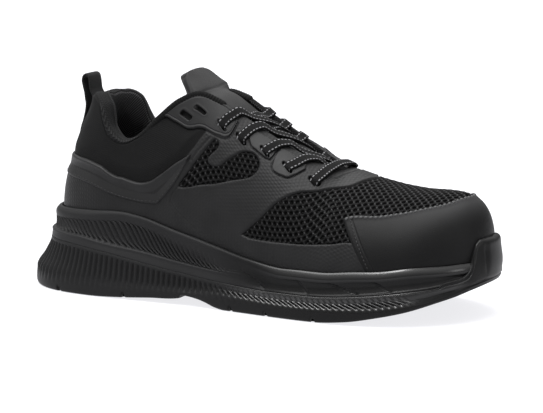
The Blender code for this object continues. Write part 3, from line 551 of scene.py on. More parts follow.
def upperFinish():  # coated film and collar knit on one wall, told apart by the distance stored on it
    f = Finish("upper_textile", Specular_IOR_Level=0.15)
    u, v = f.flat()
    collar = f.value("collarInside").ease(-0.4, 0.4)
    holeShade = f.value("holeInside").ease(-0.4, 0.1)
    roll = f.value("rollInside").ease(-0.2, 0.5)
    chevron = (u * 3.6 + abs(v % 2.4 - 1.2) * 4.2).cosine().halved()
    hexes = honeycomb(u, v, 2.4)
    mottle = f.noise(60, 4)
    fine = f.noise(2600, 2)
    filmColour = f.shade(mottle.ease(0.3, 0.7), *shades["film"])
    knit = ((u * 6.8).cosine() * (v * 5.6).cosine()).halved()
    knitColour = f.shade((knit * 0.55 + fine * 0.45).ease(0.25, 0.8), *shades["collarKnit"])
    rollColour = f.shade((chevron * 0.6 + fine * 0.4).ease(0.3, 0.8), *shades["rollKnit"])
    colour = f.mix(collar, filmColour, f.mix(roll, knitColour, rollColour))
    # painted shade: near black in the lace slots and under the mesh windows
    colour = f.mix(holeShade, colour, grey(shades["holeShade"]))
    rough = (0.47 + fine * 0.12 - hexes * 0.06) * (1.0 - collar) + collar * 0.88
    knitHeight = knit * 0.26 + fine * 0.24 + chevron * roll * 0.5
    height = (hexes * 0.24 + fine * 0.10) * (1.0 - collar) + knitHeight * collar
    return f.feed(Base_Color=colour, Roughness=rough, Normal=f.bump(height, 0.00045))


def meshFinish():  # open mesh: worn yarn over holes painted near black as shade, with a painted highlight stroke at each strand's crest
    f = Finish("open_mesh", Specular_IOR_Level=0.10)
    u, v = f.flat()
    strand = f.value("strand")
    fine = f.noise(3200, 3)
    ply = (u * 9.0 - v * 6.1).cosine().halved()
    yarn = f.shade((ply * 0.4 + fine * 0.6).ease(0.3, 0.75), *shades["meshYarn"])
    # painted highlight: a pale glint mixed in midway along each strand
    yarn = f.mix(f.value("crest").ease(0.35, 0.95), yarn, grey(shades["meshPaintedGlint"]))
    # painted shade: near black in the holes between strands
    colour = f.mix(strand.ease(0.48, 0.92), grey(shades["meshHoleShade"]), yarn)
    rough = 0.86 - strand * 0.36 + fine * 0.08
    return f.feed(Base_Color=colour, Roughness=rough, Normal=f.bump(ply * 0.6 + fine * 0.4, 0.00022))


def filmFinish(name, dark, light, roughness, specular, grain=1800.0, crown=0.0):
    # smooth coated film with a faint grain, a painted highlight as a paler grey towards its top, and near black
    # painted shade in its slots
    f = Finish(name, Specular_IOR_Level=specular)
    mottle = f.noise(45, 4)
    fine = f.noise(grain, 3)
    holeShade = f.value("holeInside").ease(-0.4, 0.1)
    colour = f.shade(mottle.ease(0.3, 0.7), dark, light)
    # painted highlight: paler towards the top by crown times the share
    colour = f.mix(f.value("share").ease(0.40, 0.80) * crown, colour, grey(light * shades["toeTopHighlight"]))
    # painted shade: near black in the slots
    colour = f.mix(holeShade, colour, grey(shades["holeShade"]))
    rough = roughness + fine * 0.14 - mottle * 0.06 + holeShade * 0.3
    return f.feed(Base_Color=colour, Roughness=rough, Normal=f.bump(fine * 0.6 + mottle * 0.4, 0.00016))


def liningFinish():  # spacer knit: rows of small pale loops on black, and plain knit over the collar's roll
    f = Finish("collar_lining", Specular_IOR_Level=0.12)
    u, v = f.flat()
    roll = f.value("roll")
    loops = loopRows(u * 4.6, v * 3.4).ease(0.35, 0.95)
    chevron = (u * 3.6 + abs(v % 3.0 - 1.5) * 4.2).cosine().halved()
    plain = chevron * 0.6 + f.noise(2400, 2) * 0.4
    colour = f.mix(roll, f.shade(loops, *shades["liningLoops"]), f.shade(plain, *shades["liningRoll"]))
    height = loops * (1.0 - roll) + plain * roll
    return f.feed(Base_Color=colour, Roughness=0.94 - loops * 0.12, Normal=f.bump(height, 0.0005))


def knitFinish(name, dark, light, pitch):  # narrow knitted binding or piping: cosine rows and fine noise, half each
    f = Finish(name, Specular_IOR_Level=0.15)
    u, _ = f.flat()
    fine = f.noise(2800, 2)
    yarn = (u * (2 * pi / pitch)).cosine().halved() * 0.5 + fine * 0.5
    return f.feed(Base_Color=f.shade(yarn, dark, light), Roughness=0.80 + fine * 0.1, Normal=f.bump(yarn, 0.0004))


def tongueFinish():  # smooth mottled panel on the face, with painted shade darkening it under the lacing, and looped knit beside it
    f = Finish("tongue_textile", Specular_IOR_Level=0.2)
    u, v = f.flat()
    panel = f.value("panelInside").ease(-0.4, 0.4)
    fine = f.noise(2600, 2)
    mottle = f.noise(70, 3)
    loops = loopRows(u * 2.3, v * 2.3).ease(0.3, 0.9)
    dark, light = (grey(level, shades["tongueWarmth"]) for level in shades["tonguePanel"])
    smooth = f.mix(mottle.ease(0.3, 0.7), dark, light)
    # painted shade: the panel fades to a darker grey below 30 mm from the top, where the laces shade it
    smooth = f.mix(v.ease(30.0, 46.0) * 0.85, smooth, grey(shades["tongueLaceShade"]))
    colour = f.mix(panel, f.shade(loops, *shades["tongueLoops"]), smooth)
    height = loops * (1.0 - panel) + fine * 0.25
    return f.feed(Base_Color=colour, Roughness=0.80 - panel * 0.12 + fine * 0.1, Normal=f.bump(height, 0.0006))


def laceFinish():  # black weave with a pale broken line along both edges
    f = Finish("lace", Specular_IOR_Level=0.15)
    u, _ = f.flat()
    across = f.value("across")
    top = f.value("topFace").ease(0.15, 0.45)
    beat = (u / 2.3) % 1.0
    dash = beat.ease(0.12, 0.24) * (1.0 - beat.ease(0.66, 0.78))
    line = (1.0 - abs(abs(across) - 0.72).ease(0.07, 0.13)) * dash * top
    weave = ((u * 5.6 + across * 14.0).cosine() * (u * 5.6 - across * 14.0).cosine()).halved()
    colour = f.mix(line, f.shade(weave, *shades["lace"]), grey(shades["laceLine"]))
    height = weave * (1.0 - line) + line * 1.1
    return f.feed(Base_Color=colour, Roughness=0.82 - line * 0.35, Normal=f.bump(height, 0.00035))


def webbingFinish():  # slanting twill: one cosine on the slant and fine noise
    f = Finish("webbing", Specular_IOR_Level=0.15)
    u, v = f.flat()
    twill = (u * 4.2 + v * 4.2).cosine().halved()
    fine = f.noise(2200, 2)
    colour = f.shade(twill * 0.7 + fine * 0.3, *shades["webbing"])
    return f.feed(Base_Color=colour, Roughness=0.76 + fine * 0.1, Normal=f.bump(twill * 0.8 + fine * 0.2, 0.0004))


def soleFinish(name, dark, light, roughness):
    # moulded sole: satin, mottled, finely pitted, glossier in front, with painted shade darkening the front and near
    # black painted shade in its notches
    f = Finish(name, Specular_IOR_Level=0.10, Coat_Roughness=0.20)
    mottle = f.noise(38, 4)
    fine = f.noise(1500, 3)
    # painted shade: darker where fore is high, towards the front and away from the ledge
    colour = f.shade(mottle * 0.3 + f.value("fore") * 0.7, light, dark)
    # painted shade: near black in the notches at the tread's edge
    colour = f.mix(f.value("notchAndShade"), colour, grey(shades["soleNotchShade"]))
    rough = roughness + fine * 0.12 - mottle * 0.06
    return f.feed(Base_Color=colour, Roughness=rough, Coat_Weight=f.value("gloss") * 0.9,
                  Normal=f.bump(fine * 0.5 + mottle * 0.5, 0.00014))


def footbedFinish():  # small square cells: the product of two cosines
    f = Finish("footbed", Specular_IOR_Level=0.25)
    u, v = f.flat()
    cells = ((u * 2.8).cosine() * (v * 2.8).cosine()).halved()
    rough = 0.90 + f.noise(1800, 2) * 0.08
    return f.feed(Base_Color=f.shade(cells, *shades["footbed"]), Roughness=rough, Normal=f.bump(cells, 0.0004))


def threadFinish(name, dark, light):  # fine noise between two greys
    f = Finish(name, Specular_IOR_Level=0.45)
    fine = f.noise(3500, 2)
    return f.feed(Base_Color=f.shade(fine, dark, light), Roughness=0.60 + fine * 0.2)


finishes = {
    "upper": upperFinish(), "mesh": meshFinish(), "lining": liningFinish(), "tongue": tongueFinish(),
    "lace": laceFinish(), "webbing": webbingFinish(), "footbed": footbedFinish(),
    # the toe's film has a painted highlight towards its top
    "toe": filmFinish("toe_film", 0.0040, 0.0054, 0.46, 0.11, crown=0.9),
    "moulded": filmFinish("moulded_film", 0.0072, 0.0100, 0.46, 0.20, 2400.0),
    "binding": knitFinish("collar_binding", 0.0006, 0.0026, 1.7),
    "piping": knitFinish("collar_piping", 0.006, 0.014, 1.2),
    "midsole": soleFinish("sole_foam", 0.0018, 0.0185, 0.46),
    "outsole": soleFinish("sole_rubber", 0.0034, 0.0125, 0.44),
    "thread": threadFinish("thread", 0.004, 0.009), "weld": threadFinish("weld_line", 0.026, 0.048),
}
print("finishes ready:", len(finishes))


# Overlays on the wall: shapes in section and share, used by the wall's own pattern too

toeCapShape = {
    "top": ((15.40, 0.466), (15.66, 0.500), (16.56, 0.534), (17.22, 0.575), (18.02, 0.635), (18.98, 0.688),
            (19.92, 0.765), (21.0, 0.825)),
    "rearLean": 1.04, "rearEnd": 17.6, "foot": 0.104, "thick": 1.15, "thin": 0.55, "rows": 60, "columns": 460,
    # pressed lines from the rear edge, swelling of the top edge; then grains: pitch, length, width, height
    "rearLines": (0.9, 5.3), "ridge": 0.35, "weld": (2.9, 2.3, 2.0, 0.75), "rearStitch": (2.4, 1.7, 0.6, 0.35),
}
counterShape = {  # lower section and height, upper section and height, from the tip to the heel's back
    "strips": [(8.62, 89.6, 8.60, 90.4), (8.28, 82.7, 8.16, 87.2), (7.90, 75.0, 7.78, 84.2), (7.38, 66.3, 7.30, 79.4),
               (7.02, 61.2, 6.90, 75.6), (6.78, 58.8, 6.54, 72.6), (6.28, 58.7, 6.06, 71.2), (5.54, 59.6, 5.40, 72.6),
               (4.62, 62.0, 4.50, 76.4), (3.42, 66.4, 3.36, 80.5), (2.60, 68.6, 2.56, 82.3), (1.70, 69.8, 1.76, 83.0),
               (0.80, 70.2, 0.86, 83.2), (0.0, 70.3, 0.0, 83.3)],
    "thick": 1.2, "rows": 44, "columns": 460, "hollow": 0.75, "ridge": 0.9, "stitch": (2.7, 1.7, 0.5, 0.28),
}
eyestayShape = {  # lower section and share, upper section and share
    "strips": [(7.16, .962, 7.16, .990), (7.36, .926, 7.34, .990), (7.70, .848, 7.68, .985), (8.04, .790, 8.04, .985),
               (8.26, .758, 8.26, .985), (8.46, .737, 8.46, .985), (8.76, .726, 8.76, .985), (9.04, .727, 9.04, .985),
               (9.34, .722, 9.34, .985), (9.64, .710, 9.64, .985), (10.00, .701, 10.00, .985),
               (10.34, .704, 10.34, .985), (10.60, .730, 10.60, .985), (10.80, .795, 10.80, .985),
               (10.97, .880, 10.97, .985)],
    "thick": 1.1, "rows": 110, "columns": 190,
    "openSlots": [((8.13, .876), (8.55, .806)), ((8.87, .871), (9.29, .830))],
}
tabShape = {  # lower section and share, upper section and share
    "strips": [[(11.50, .840, 11.46, .880), (11.58, .775, 11.56, .895), (11.68, .743, 11.70, .905),
                (11.82, .737, 11.88, .910), (12.02, .724, 12.06, .910), (12.24, .715, 12.24, .910),
                (12.40, .719, 12.38, .905), (12.50, .750, 12.48, .900), (12.58, .800, 12.57, .895),
                (12.64, .845, 12.64, .880)],
               [(12.66, .800, 12.72, .860), (12.59, .725, 12.76, .880), (12.55, .672, 12.82, .890),
                (12.62, .647, 12.90, .895), (12.80, .643, 13.00, .895), (13.08, .649, 13.14, .890),
                (13.34, .694, 13.36, .880), (13.52, .750, 13.52, .865), (13.64, .795, 13.64, .840)]],
    "thick": 1.15, "rows": 70, "columns": 110,
}
# section and share of the five lace eyelets
lacingSlots = [(10.24, .782), (11.16, .768), (12.18, .760), (13.06, .730), (14.00, .715)]


def slotDistance(ends, flat, radius):  # radius less the distance to the line between two points of the wall
    return radius - lineDistance(flatLine(ends), flat)


def laceSlot(section, share):  # ends of a short slanting slot round its middle
    return (section - 0.11, share + 0.018), (section + 0.13, share - 0.020)


# Upper

upperShape = {
    "columns": 560, "rows": 168, "film": 0.55, "sunk": 1.0, "collarPuff": 1.3,
    "sideWindow": [(9.96, .686), (10.10, .668), (10.04, .634), (9.74, .590), (9.52, .552), (9.50, .532), (9.66, .520),
                   (9.94, .520), (10.20, .536), (10.54, .584), (10.86, .628), (11.16, .670), (11.46, .698),
                   (11.82, .702), (11.98, .674), (12.00, .630), (11.86, .582), (11.66, .548), (10.88, .488),
                   (10.20, .440), (9.56, .410), (8.84, .390), (8.14, .384), (7.92, .400), (8.02, .418), (8.42, .470),
                   (8.92, .536), (9.42, .608), (9.74, .660)],
    "vampTop": [(11.30, .212), (12.10, .325), (12.88, .470), (13.36, .552), (13.74, .605), (14.38, .660),
                (14.82, .704), (15.34, .770), (15.70, .880), (15.98, .985)],
    "vampLow": [(16.4, .300), (15.8, .307), (15.06, .283), (13.76, .255), (12.42, .220), (11.60, .205)],
    "collarFront": [(8.80, .613), (9.14, .667), (9.40, .708)],
    "rollLine": [(2.45, 1.0), (2.90, .975), (3.34, .918), (3.80, .908), (4.26, .918), (4.94, .953), (5.64, .962),
                 (6.38, .970), (6.90, .995)],
    "grooves": [  # pressed lines: the film's rear edge, the strip beside the side window, the end of the throat
        [(7.95, .395), (7.62, .355), (7.50, .322), (7.66, .270), (8.20, .205), (8.8, .150)],
        [(9.70, .690), (9.30, .630), (8.62, .535)],
        [(14.22, .800), (14.42, .775), (14.66, .795), (14.92, .870), (15.14, .940), (15.26, .993)]],
    "holeRadius": 1.4, "openRadius": 1.15, "holeDepth": 2.8, "rollPuff": 0.7, "throatStitch": (2.2, 1.6, 0.6, 0.4),
    "throat": (1.7, 217, 9, 11),  # height, x, reach along the shoe and down from the ridge
    # depth and width of pressed lines; the lip beside a groove has its distance between them
    "rollSeam": (0.65, 0.55), "groove": (0.40, 0.5), "underTabs": (0.8, 0.65), "grooveLip": (0.16, 1.3, 0.6),
}


def wallRegions(flat):  # signed distances on the flattened lateral wall; both sides use the same pattern
    s = upperShape
    side = insideDistance(roundedOutline(s["sideWindow"]), flat)
    topEdge = softLine(flatLine(s["vampTop"]), 50)
    lowEdge = flatLine(softLine(s["vampLow"], 60))
    pastRidge = np.array([(topEdge[-1, 0] + 2, -6.0), (300.0, -6.0), (300.0, 70.0),
                          (lowEdge[0, 0] + 10, lowEdge[0, 1])])
    vamp = insideDistance(np.vstack([topEdge, pastRidge, lowEdge]), flat)
    counterTop = softLine([row[2:] for row in counterShape["strips"][:0:-1]], 60)
    counterTop = flatPoint(counterTop[:, 0], shareAtHeight(counterTop[:, 0], counterTop[:, 1] - 2.0))
    eyestayEdge = [(row[0], row[1] + 0.02) for row in eyestayShape["strips"][8::-1]]
    collarLine = np.vstack([counterTop, flatLine(s["collarFront"] + eyestayEdge)])
    rear = np.array([(collarLine[-1, 0], -8.0), (10.0, -8.0), (10.0, collarLine[0, 1])])
    collar = insideDistance(np.vstack([collarLine, rear]), flat)
    return np.maximum(side, vamp), collar


def rollRegion(flat):  # signed distance on the wall to the leaf-shaped knit roll beside the ankle's dip
    line = softLine(flatLine(upperShape["rollLine"]), 60)
    return insideDistance(np.vstack([line, [(line[-1, 0], -8.0), (line[0, 0], -8.0)]]), flat)


def throatRise(flat):  # soft swelling of the ridge just ahead of the lacing: a bell along the shoe times one down it
    height, at, reach, down = upperShape["throat"]
    return height * np.exp(-((flat[..., 0] - at) / reach) ** 2 - (flat[..., 1] / down) ** 2)


def wallRelief(flat, mesh, collar, holes, roll):
    # film stands proud of the mesh, collar and roll are puffed, and bells round lines and holes press them in
    s = upperShape
    inMesh, inCollar = ease(-0.6, 0.5, mesh), ease(-0.5, 0.5, collar)
    relief = s["film"] * (1 - inMesh) * (1 - inCollar) - s["sunk"] * inMesh + 0.10 * bell(mesh, -1.4, 0.9)
    relief += s["collarPuff"] * ease(0.0, 9.0, collar) * inCollar + throatRise(flat)
    relief += s["rollPuff"] * ease(0.0, 3.0, roll) - s["rollSeam"][0] * bell(roll, 0, s["rollSeam"][1])
    (depth, width), (lip, lipAt, lipWidth) = s["groove"], s["grooveLip"]
    for corners in s["grooves"]:
        distance = lineDistance(softLine(flatLine(corners), 40), flat)
        relief -= depth * bell(distance, 0, width) - lip * bell(distance, lipAt, lipWidth)
    depth, width = s["underTabs"]
    for strips in tabShape["strips"] + [eyestayShape["strips"]]:
        distance = lineDistance(softLine(flatLine([row[:2] for row in strips]), 60), flat)
        relief -= depth * bell(distance, 0, width)
    return relief - s["holeDepth"] * ease(-0.4, 0.3, holes) + 0.2 * bell(holes, -0.9, 0.5)


def flattened(folded, shares):  # map of a grid of the wall: along the shoe, and down from the top edge
    lateral = wallPoint(folded, shares)
    below = np.linalg.norm(np.diff(lateral, axis=0), axis=-1)
    below = np.concatenate([np.cumsum(below[::-1], axis=0)[::-1], np.zeros_like(below[:1])])
    return np.stack([lateral[..., 0], below], -1)


def twoSides(name, sections):  # name and sections on the lateral side, then on the medial: whole round less each
    return (name + "Lateral", sections), (name + "Medial", wholeRound - sections)


def makeUpper():  # both sides of the wall from below the rim to the top edge, with the same relief
    s = upperShape
    folded = spacedSections(0, lastSection, s["columns"])
    low = np.maximum(shareAtHeight(folded, along(pattern["rim"], footPoint(folded)[:, 0])) - 0.05, 0)
    rise = np.linspace(0, 1, s["rows"])[:, None]
    columns = np.broadcast_to(folded, (s["rows"], s["columns"]))
    flat = flattened(columns, low + (1 - low) * rise)
    mesh, collar = wallRegions(flat)
    roll = rollRegion(flat)
    holes = np.max([slotDistance(laceSlot(*slot), flat, s["holeRadius"]) for slot in lacingSlots]
                   + [slotDistance(slot, flat, s["openRadius"]) for slot in eyestayShape["openSlots"]], axis=0)
    relief = wallRelief(flat, mesh, collar, holes, roll) * ease(0.0, 1.6, flat[..., 1] + 9 * ease(14.6, 15.1, columns))
    # holeInside is also positive under the mesh windows, so there the wall is painted near black as the shade seen
    # through the mesh
    marks = {"collarInside": collar, "rollInside": roll, "holeInside": np.maximum(holes, mesh - 0.2)}
    for name, sections in twoSides("upper", columns):
        shares = low + (topShare(sections) - low) * rise
        gridPiece(name, skinPoint(sections, shares, relief), finishes["upper"], flip=name == "upperMedial", flat=flat,
                  attributes=marks, slot="upper_textile", standsFor=("upper",) if name == "upperLateral" else ())


meshShape = {"from": 7.7, "columns": 560, "rows": 170, "foot": 0.17, "waves": ((0.215, -0.185), (0.130, 0.295)),
             "depth": 1.3,
             "proud": 0.30, "tuck": 0.9, "crest": (0.62, 0.75)}


def makeMesh():
    # three crossing waves leave a slanting lattice of holes; strands rise between them, highest midway along one slant
    s, cap = meshShape, toeCapShape
    folded = spacedSections(s["from"], lastSection - 0.05, s["columns"])
    columns = np.broadcast_to(folded, (s["rows"], s["columns"]))
    shares = s["foot"] + (1 - s["foot"]) * np.linspace(0, 1, s["rows"])[:, None] + 0 * columns
    flat = flattened(columns, shares)
    mesh, _ = wallRegions(flat)
    rearX, rearTop = cap["top"][0]
    rear = rearX + (rearTop - shares) / (rearTop - cap["foot"]) * cap["rearLean"]
    covered = (columns > rear + 0.15) & (shares < along(cap["top"], columns) - 0.03)
    for name, sections in twoSides("mesh", columns):
        far = name == "meshMedial"
        p, q = ((flat * (1, -1 if far else 1)) @ np.array(wave) for wave in s["waves"])  # runs on across the ridge
        hollow = (np.cos(2 * pi * p) + np.cos(2 * pi * q) + np.cos(2 * pi * (p + q))) / 3
        ply = 0.5 - 0.5 * np.cos(2 * pi * p)
        strand = np.sqrt(np.clip((0.30 - hollow) / 0.6, 0, 1)) * (0.84 + 0.16 * ply)
        relief = s["proud"] + s["depth"] * (strand - 1) - s["tuck"] * (1 - ease(-0.3, 1.1, mesh)) + throatRise(flat)
        # painted highlight: where the pale glint spot lies on each strand
        alongCrest, acrossCrest = (p % 1.0 - 0.5) * 4.0, ((q + 0.5) % 1.0 - 0.5) * 3.0
        crest = np.exp(-(alongCrest / s["crest"][0]) ** 2 - (acrossCrest / s["crest"][1]) ** 2)
        gridPiece(name, wallOffset(sections, shares, relief), finishes["mesh"], flip=far, flat=flat,
                  slot="upper_textile", keep=(mesh > -0.8) & ~covered, attributes={"strand": strand, "crest": crest})


def edgeFrame(sections):  # the wall's top edge, its outward and rising directions
    top = topShare(sections)
    edge, lower = (skinPoint(sections, top - down, np.zeros(len(sections))) for down in (0, 0.03))
    return edge, wallOutward(sections, top - 0.015), unit(edge - lower)


collarShape = {
    "columns": 560, "rollRows": 17, "knitRows": 13, "innerRows": 50, "crown": 0.36, "crownDrop": 0.16,
    "binding": {"from": 5.2, "to": 10.45, "columns": 300, "width": 4.8, "thick": 4.2, "in": 1.1, "down": 1.5,
                "lump": 1.9},
    "piping": {"end": 9.3, "columns": 420, "width": 1.6, "in": 1.64, "up": 0.77},
}


def collarCrown(sections):  # height of the roll over the edge, as a share of half its width
    s = collarShape
    return (s["crown"] - s["crownDrop"] * ease(3.4, 5.0, foldSection(sections)[0]))[:, None]


def makeLining():  # rolls over the top edge on a flattened half circle and lines the inside down to the footbed
    s = collarShape
    sections = spacedSections(0, wholeRound, s["columns"] + 1)[:-1]
    edge, out, rise = edgeFrame(sections)
    half = (wallThickness(sections, 1.0) / 2)[:, None]
    opened = (1 - ease(14.6, 15.0, foldSection(sections)[0]))[:, None]
    turn = np.linspace(0, pi, s["rollRows"])[:, None, None]
    roll = edge - out * half + out * half * np.cos(turn) + rise * half * np.sin(turn) * collarCrown(sections) * opened
    shares = topShare(sections) * np.linspace(1, 0.02, s["innerRows"])[1:, None]
    columns = np.broadcast_to(sections, shares.shape)
    points = np.concatenate([roll, skinPoint(columns, shares, -wallThickness(columns, shares))])
    rolled = np.zeros(points.shape[:2])
    rolled[:s["knitRows"]] = 1.0
    middle = s["rollRows"] // 2
    flat = np.stack([np.broadcast_to(runLengths(roll[middle:middle + 1], 1), rolled.shape), runLengths(points, 0)], -1)
    piece = gridPiece("collarLining", points, finishes["lining"], around=True, flat=flat, attributes={"roll": rolled},
                      slot="upper_textile")


def makeCollarTrim():  # dark knitted binding from ankle to lacing, and a pale piping where lining meets roll
    s = collarShape["binding"]
    folded = spacedSections(s["from"], s["to"], s["columns"])
    for name, sections in twoSides("binding", folded):
        edge, out, rise = edgeFrame(sections)
        run = runLengths(edge, 0)
        taper = np.sqrt(ease(0, 14, run) * ease(0, 3, run[-1] - run)) + 0.02
        lump = 1 + 0.04 * np.sin(run * 2 * pi / s["lump"]) * ease(7.6, 8.6, folded)
        bandPiece(name, edge - out * s["in"] - rise * s["down"], rise, s["width"] * taper * lump,
                  s["thick"] * taper * lump, finishes["binding"], 16, 0.8, slot="upper_textile")
    s = collarShape["piping"]
    sections = spacedSections(-s["end"], s["end"], s["columns"])
    edge, out, rise = edgeFrame(sections)
    half = (wallThickness(sections, 1.0) / 2)[:, None]
    path = edge - out * half * s["in"] + rise * (half * s["up"] * collarCrown(sections))
    bandPiece("collarPiping", path, rise, s["width"], s["width"], finishes["piping"], 10, 1.0, slot="upper_textile")


def overlayPiece(name, strips, thick, rows, finish, slots=(), lines=(), hollow=0.0, ridge=0.0, edgeLine=0.0, **more):
    # strips hold the lower and upper edge; the skin rises from under the wall on a quarter circle along every edge,
    # sinks by hollow towards its middle, swells to a ridge along its upper edge, and has pressed lines at given
    # distances from its two ends or its edge
    strips, thick, edge = np.asarray(strips, float), np.broadcast_to(thick, len(strips))[:, None], 1.1
    shares = (1 - np.cos(np.linspace(0, pi, rows))) / 2 * 0.5 + np.linspace(0, 1, rows) * 0.5
    sections = strips[:, :1] * (1 - shares) + strips[:, 2:3] * shares
    heights = strips[:, 1:2] * (1 - shares) + strips[:, 3:4] * shares
    base = wallPoint(sections, heights)
    down, ends = runLengths(base, 1), runLengths(base, 0)
    ends = np.minimum(ends, ends[-1:] - ends)
    border = np.minimum(np.minimum(down, down[:, -1:] - down), ends)
    lift = quarterRound(border, edge)
    relief = -edge + (thick + edge) * lift - hollow * ease(1.5, 8.0, border)
    relief = relief + ridge * bell(down[:, -1:] - down, 1.8, 1.3) * lift
    for line in lines:
        relief = relief - 0.30 * bell(ends, line, 0.42)
    if edgeLine:
        relief = relief - 0.28 * bell(border, edgeLine, 0.40)
    flat = flatPoint(foldSection(sections)[0], heights)
    holes = np.full(sections.shape, -9.0)
    for slot in slots:
        holes = np.maximum(holes, slotDistance(slot, flat, 1.05))
    relief = relief - 2.4 * ease(-0.4, 0.3, holes) + 0.10 * bell(holes, -0.9, 0.5)
    middle = len(strips) // 2
    normal = np.cross(base[middle, 1] - base[middle, 0], base[middle + 1, 0] - base[middle, 0])
    flip = bool((normal * wallOutward(sections[middle, 0], heights[middle, 0])).sum() < 0)
    return gridPiece(name, skinPoint(sections, heights, relief), finish, flip=flip, flat=flat,
                     attributes={"holeInside": holes, "share": heights}, **more)


def stitchRow(name, sections, shares, lift, grain, finish="thread", **more):  # grains along a line of the skin
    path = skinPoint(sections, shares, np.broadcast_to(lift, np.shape(sections)))
    grainPiece(name, path, wallOutward(sections, np.minimum(shares, 0.99)), grain, finishes[finish], **more)


def otherSide(strips, turn=wholeRound):  # the same strips on the other side: turn less each section
    return strips * np.array([-1, 1, -1, 1]) + np.array([turn, 0, turn, 0])


def makeToeCap():  # strips from the sole's rim to the cap's top edge, round the toe; weld grains along that edge
    s = toeCapShape
    lateral = np.linspace(s["top"][0][0], lastSection, s["columns"] // 2)
    feet = lateral + np.clip((s["rearEnd"] - lateral) / (s["rearEnd"] - s["top"][0][0]), 0, 1) * s["rearLean"]
    low = shareAtHeight(feet, along(pattern["rim"], footPoint(feet)[:, 0]) - 0.8)
    half = np.stack([feet, low, lateral, along(s["top"], lateral)], -1)
    strips = np.vstack([half, otherSide(half[-2::-1])])
    thick = s["thick"] + (s["thin"] - s["thick"]) * ease(16.5, 19.0, foldSection(strips[:, 2])[0])
    overlayPiece("toeCap", strips, thick, s["rows"], finishes["toe"], lines=s["rearLines"], ridge=s["ridge"],
                 standsFor=("toe_cap",), slot="toe_film")
    edge = strips[4:-4]
    stitchRow("toeCapWeld", edge[:, 2], edge[:, 3] - 0.022, thick[4:-4] + 0.22, s["weld"], "weld", slant=0.45,
              slot="toe_film")
    rows = np.linspace(0.06, 0.94, 60)[:, None]
    for name, at in (("toeCapRearLateral", 10), ("toeCapRearMedial", -11)):
        line = strips[at, :2] * (1 - rows) + strips[at, 2:] * rows
        stitchRow(name, line[:, 0], line[:, 1], s["thick"] + 0.05, s["rearStitch"], slot="toe_film")


def makeCounter():  # strips from the tip round the heel's back to the other tip, stitched along their lower edge
    s = counterShape
    half = softLine(s["strips"], s["columns"] // 2)
    half[:, 1], half[:, 3] = shareAtHeight(half[:, 0], half[:, 1]), shareAtHeight(half[:, 2], half[:, 3])
    strips = np.vstack([half, otherSide(half[-2::-1], 0)])
    ridge = s["ridge"] * ease(0.8, 2.6, np.abs(strips[:, 2:3]))
    overlayPiece("heelCounter", strips, s["thick"], s["rows"], finishes["moulded"], hollow=s["hollow"], ridge=ridge,
                 standsFor=("heel_counter",), slot="moulded_film")
    edge = strips[14:-14]
    stitchRow("counterStitch", edge[:, 0], edge[:, 1] + 0.022, s["thick"] - 0.02, s["stitch"], slot="moulded_film")


def makeEyestays():  # one patch on each side, its upper edge brought down to where the wall is cut
    s = eyestayShape
    lateral = softLine(s["strips"], s["columns"])
    slots = s["openSlots"] + [laceSlot(*lacingSlots[0])]
    for name, strips in (("eyestayLateral", lateral.copy()), ("eyestayMedial", otherSide(lateral))):
        strips[:, 3] *= topShare(strips[:, 2])
        overlayPiece(name, strips, s["thick"], s["rows"], finishes["moulded"], slots=slots, edgeLine=2.2,
                     standsFor=("eyestay_" + name[7:].lower(),), slot="moulded_film")


def makeTabs():  # raised shields round the third and fourth lacing slots
    s = tabShape
    for i, corners in enumerate(s["strips"], 2):
        lateral = softLine(corners, s["columns"])
        for name, strips in ((f"tabLateral{i + 1}", lateral), (f"tabMedial{i + 1}", otherSide(lateral))):
            overlayPiece(name, strips, s["thick"], s["rows"], finishes["moulded"], slots=[laceSlot(*lacingSlots[i])],
                         slot="moulded_film")


def makeThroatStitch():  # along the pressed line at the end of the throat, on both sides
    line = softLine(upperShape["grooves"][2], 80)
    for name, sections in twoSides("throatStitch", line[:, 0]):
        stitchRow(name, sections, line[:, 1], 0.35, upperShape["throatStitch"], slot="upper_textile")


# Tongue

tongueShape = {
    "from": 15.25, "to": 9.2, "shares": np.array([0.84, 0.90, 0.96]), "crown": 4.0, "thick": 6.0,
    # distance past the throat, then width and arch of the lateral half, and of the medial half
    "top": ((4.0, 1.25, 0.85, 1.20, 0.50), (8.0, 1.12, 0.65, 1.04, 0.40), (11.6, 1.00, 0.48, 0.94, 0.36),
            (14.6, 0.93, 0.36, 0.86, 0.32), (16.6, 0.86, 0.28, 0.72, 0.26), (17.7, 0.72, 0.22, 0.50, 0.20)),
    "rise": 0.89, "panel": 0.80,
}


def tongueRow(section, count=61):
    # across the tongue's face at one section: under one edge, over a crown, under the other
    s = tongueShape
    depth = wallThickness(section, s["shares"]) + 1.26
    lateral = wallOffset(section, s["shares"], -depth)
    medial = wallOffset(wholeRound - section, s["shares"], -depth)
    openness = np.clip((medial[-1] - lateral[-1])[1] / 24 - 0.25, 0, 1)
    middle = (lateral[-1] + medial[-1]) / 2 + np.array([0, 0, s["crown"] * openness])
    return softLine(np.vstack([lateral, middle, medial[::-1]]), count)


def tongueFace(alongCount, acrossCount):  # rows from the throat's end up, then straight on past the eyestay
    s = tongueShape
    rows = [tongueRow(section, acrossCount) for section in np.linspace(s["from"], s["to"], 10)]
    base = rows[-1]
    centre = base[acrossCount // 2]
    climb = np.array([-1.0, 0.0, s["rise"]]) / hypot(1.0, s["rise"])
    for distance, wide, arched, farWide, farArched in s["top"]:
        far = ease(-6.0, 6.0, base[:, 1:2] - centre[1])
        near, beyond = np.array([arched, wide, arched]), np.array([farArched, farWide, farArched])
        rows.append(centre + (base - centre) * (near * (1 - far) + beyond * far) + climb * distance)
    rows = np.array(rows)
    return np.stack([softLine(rows[:, k], alongCount) for k in range(acrossCount)], 1)


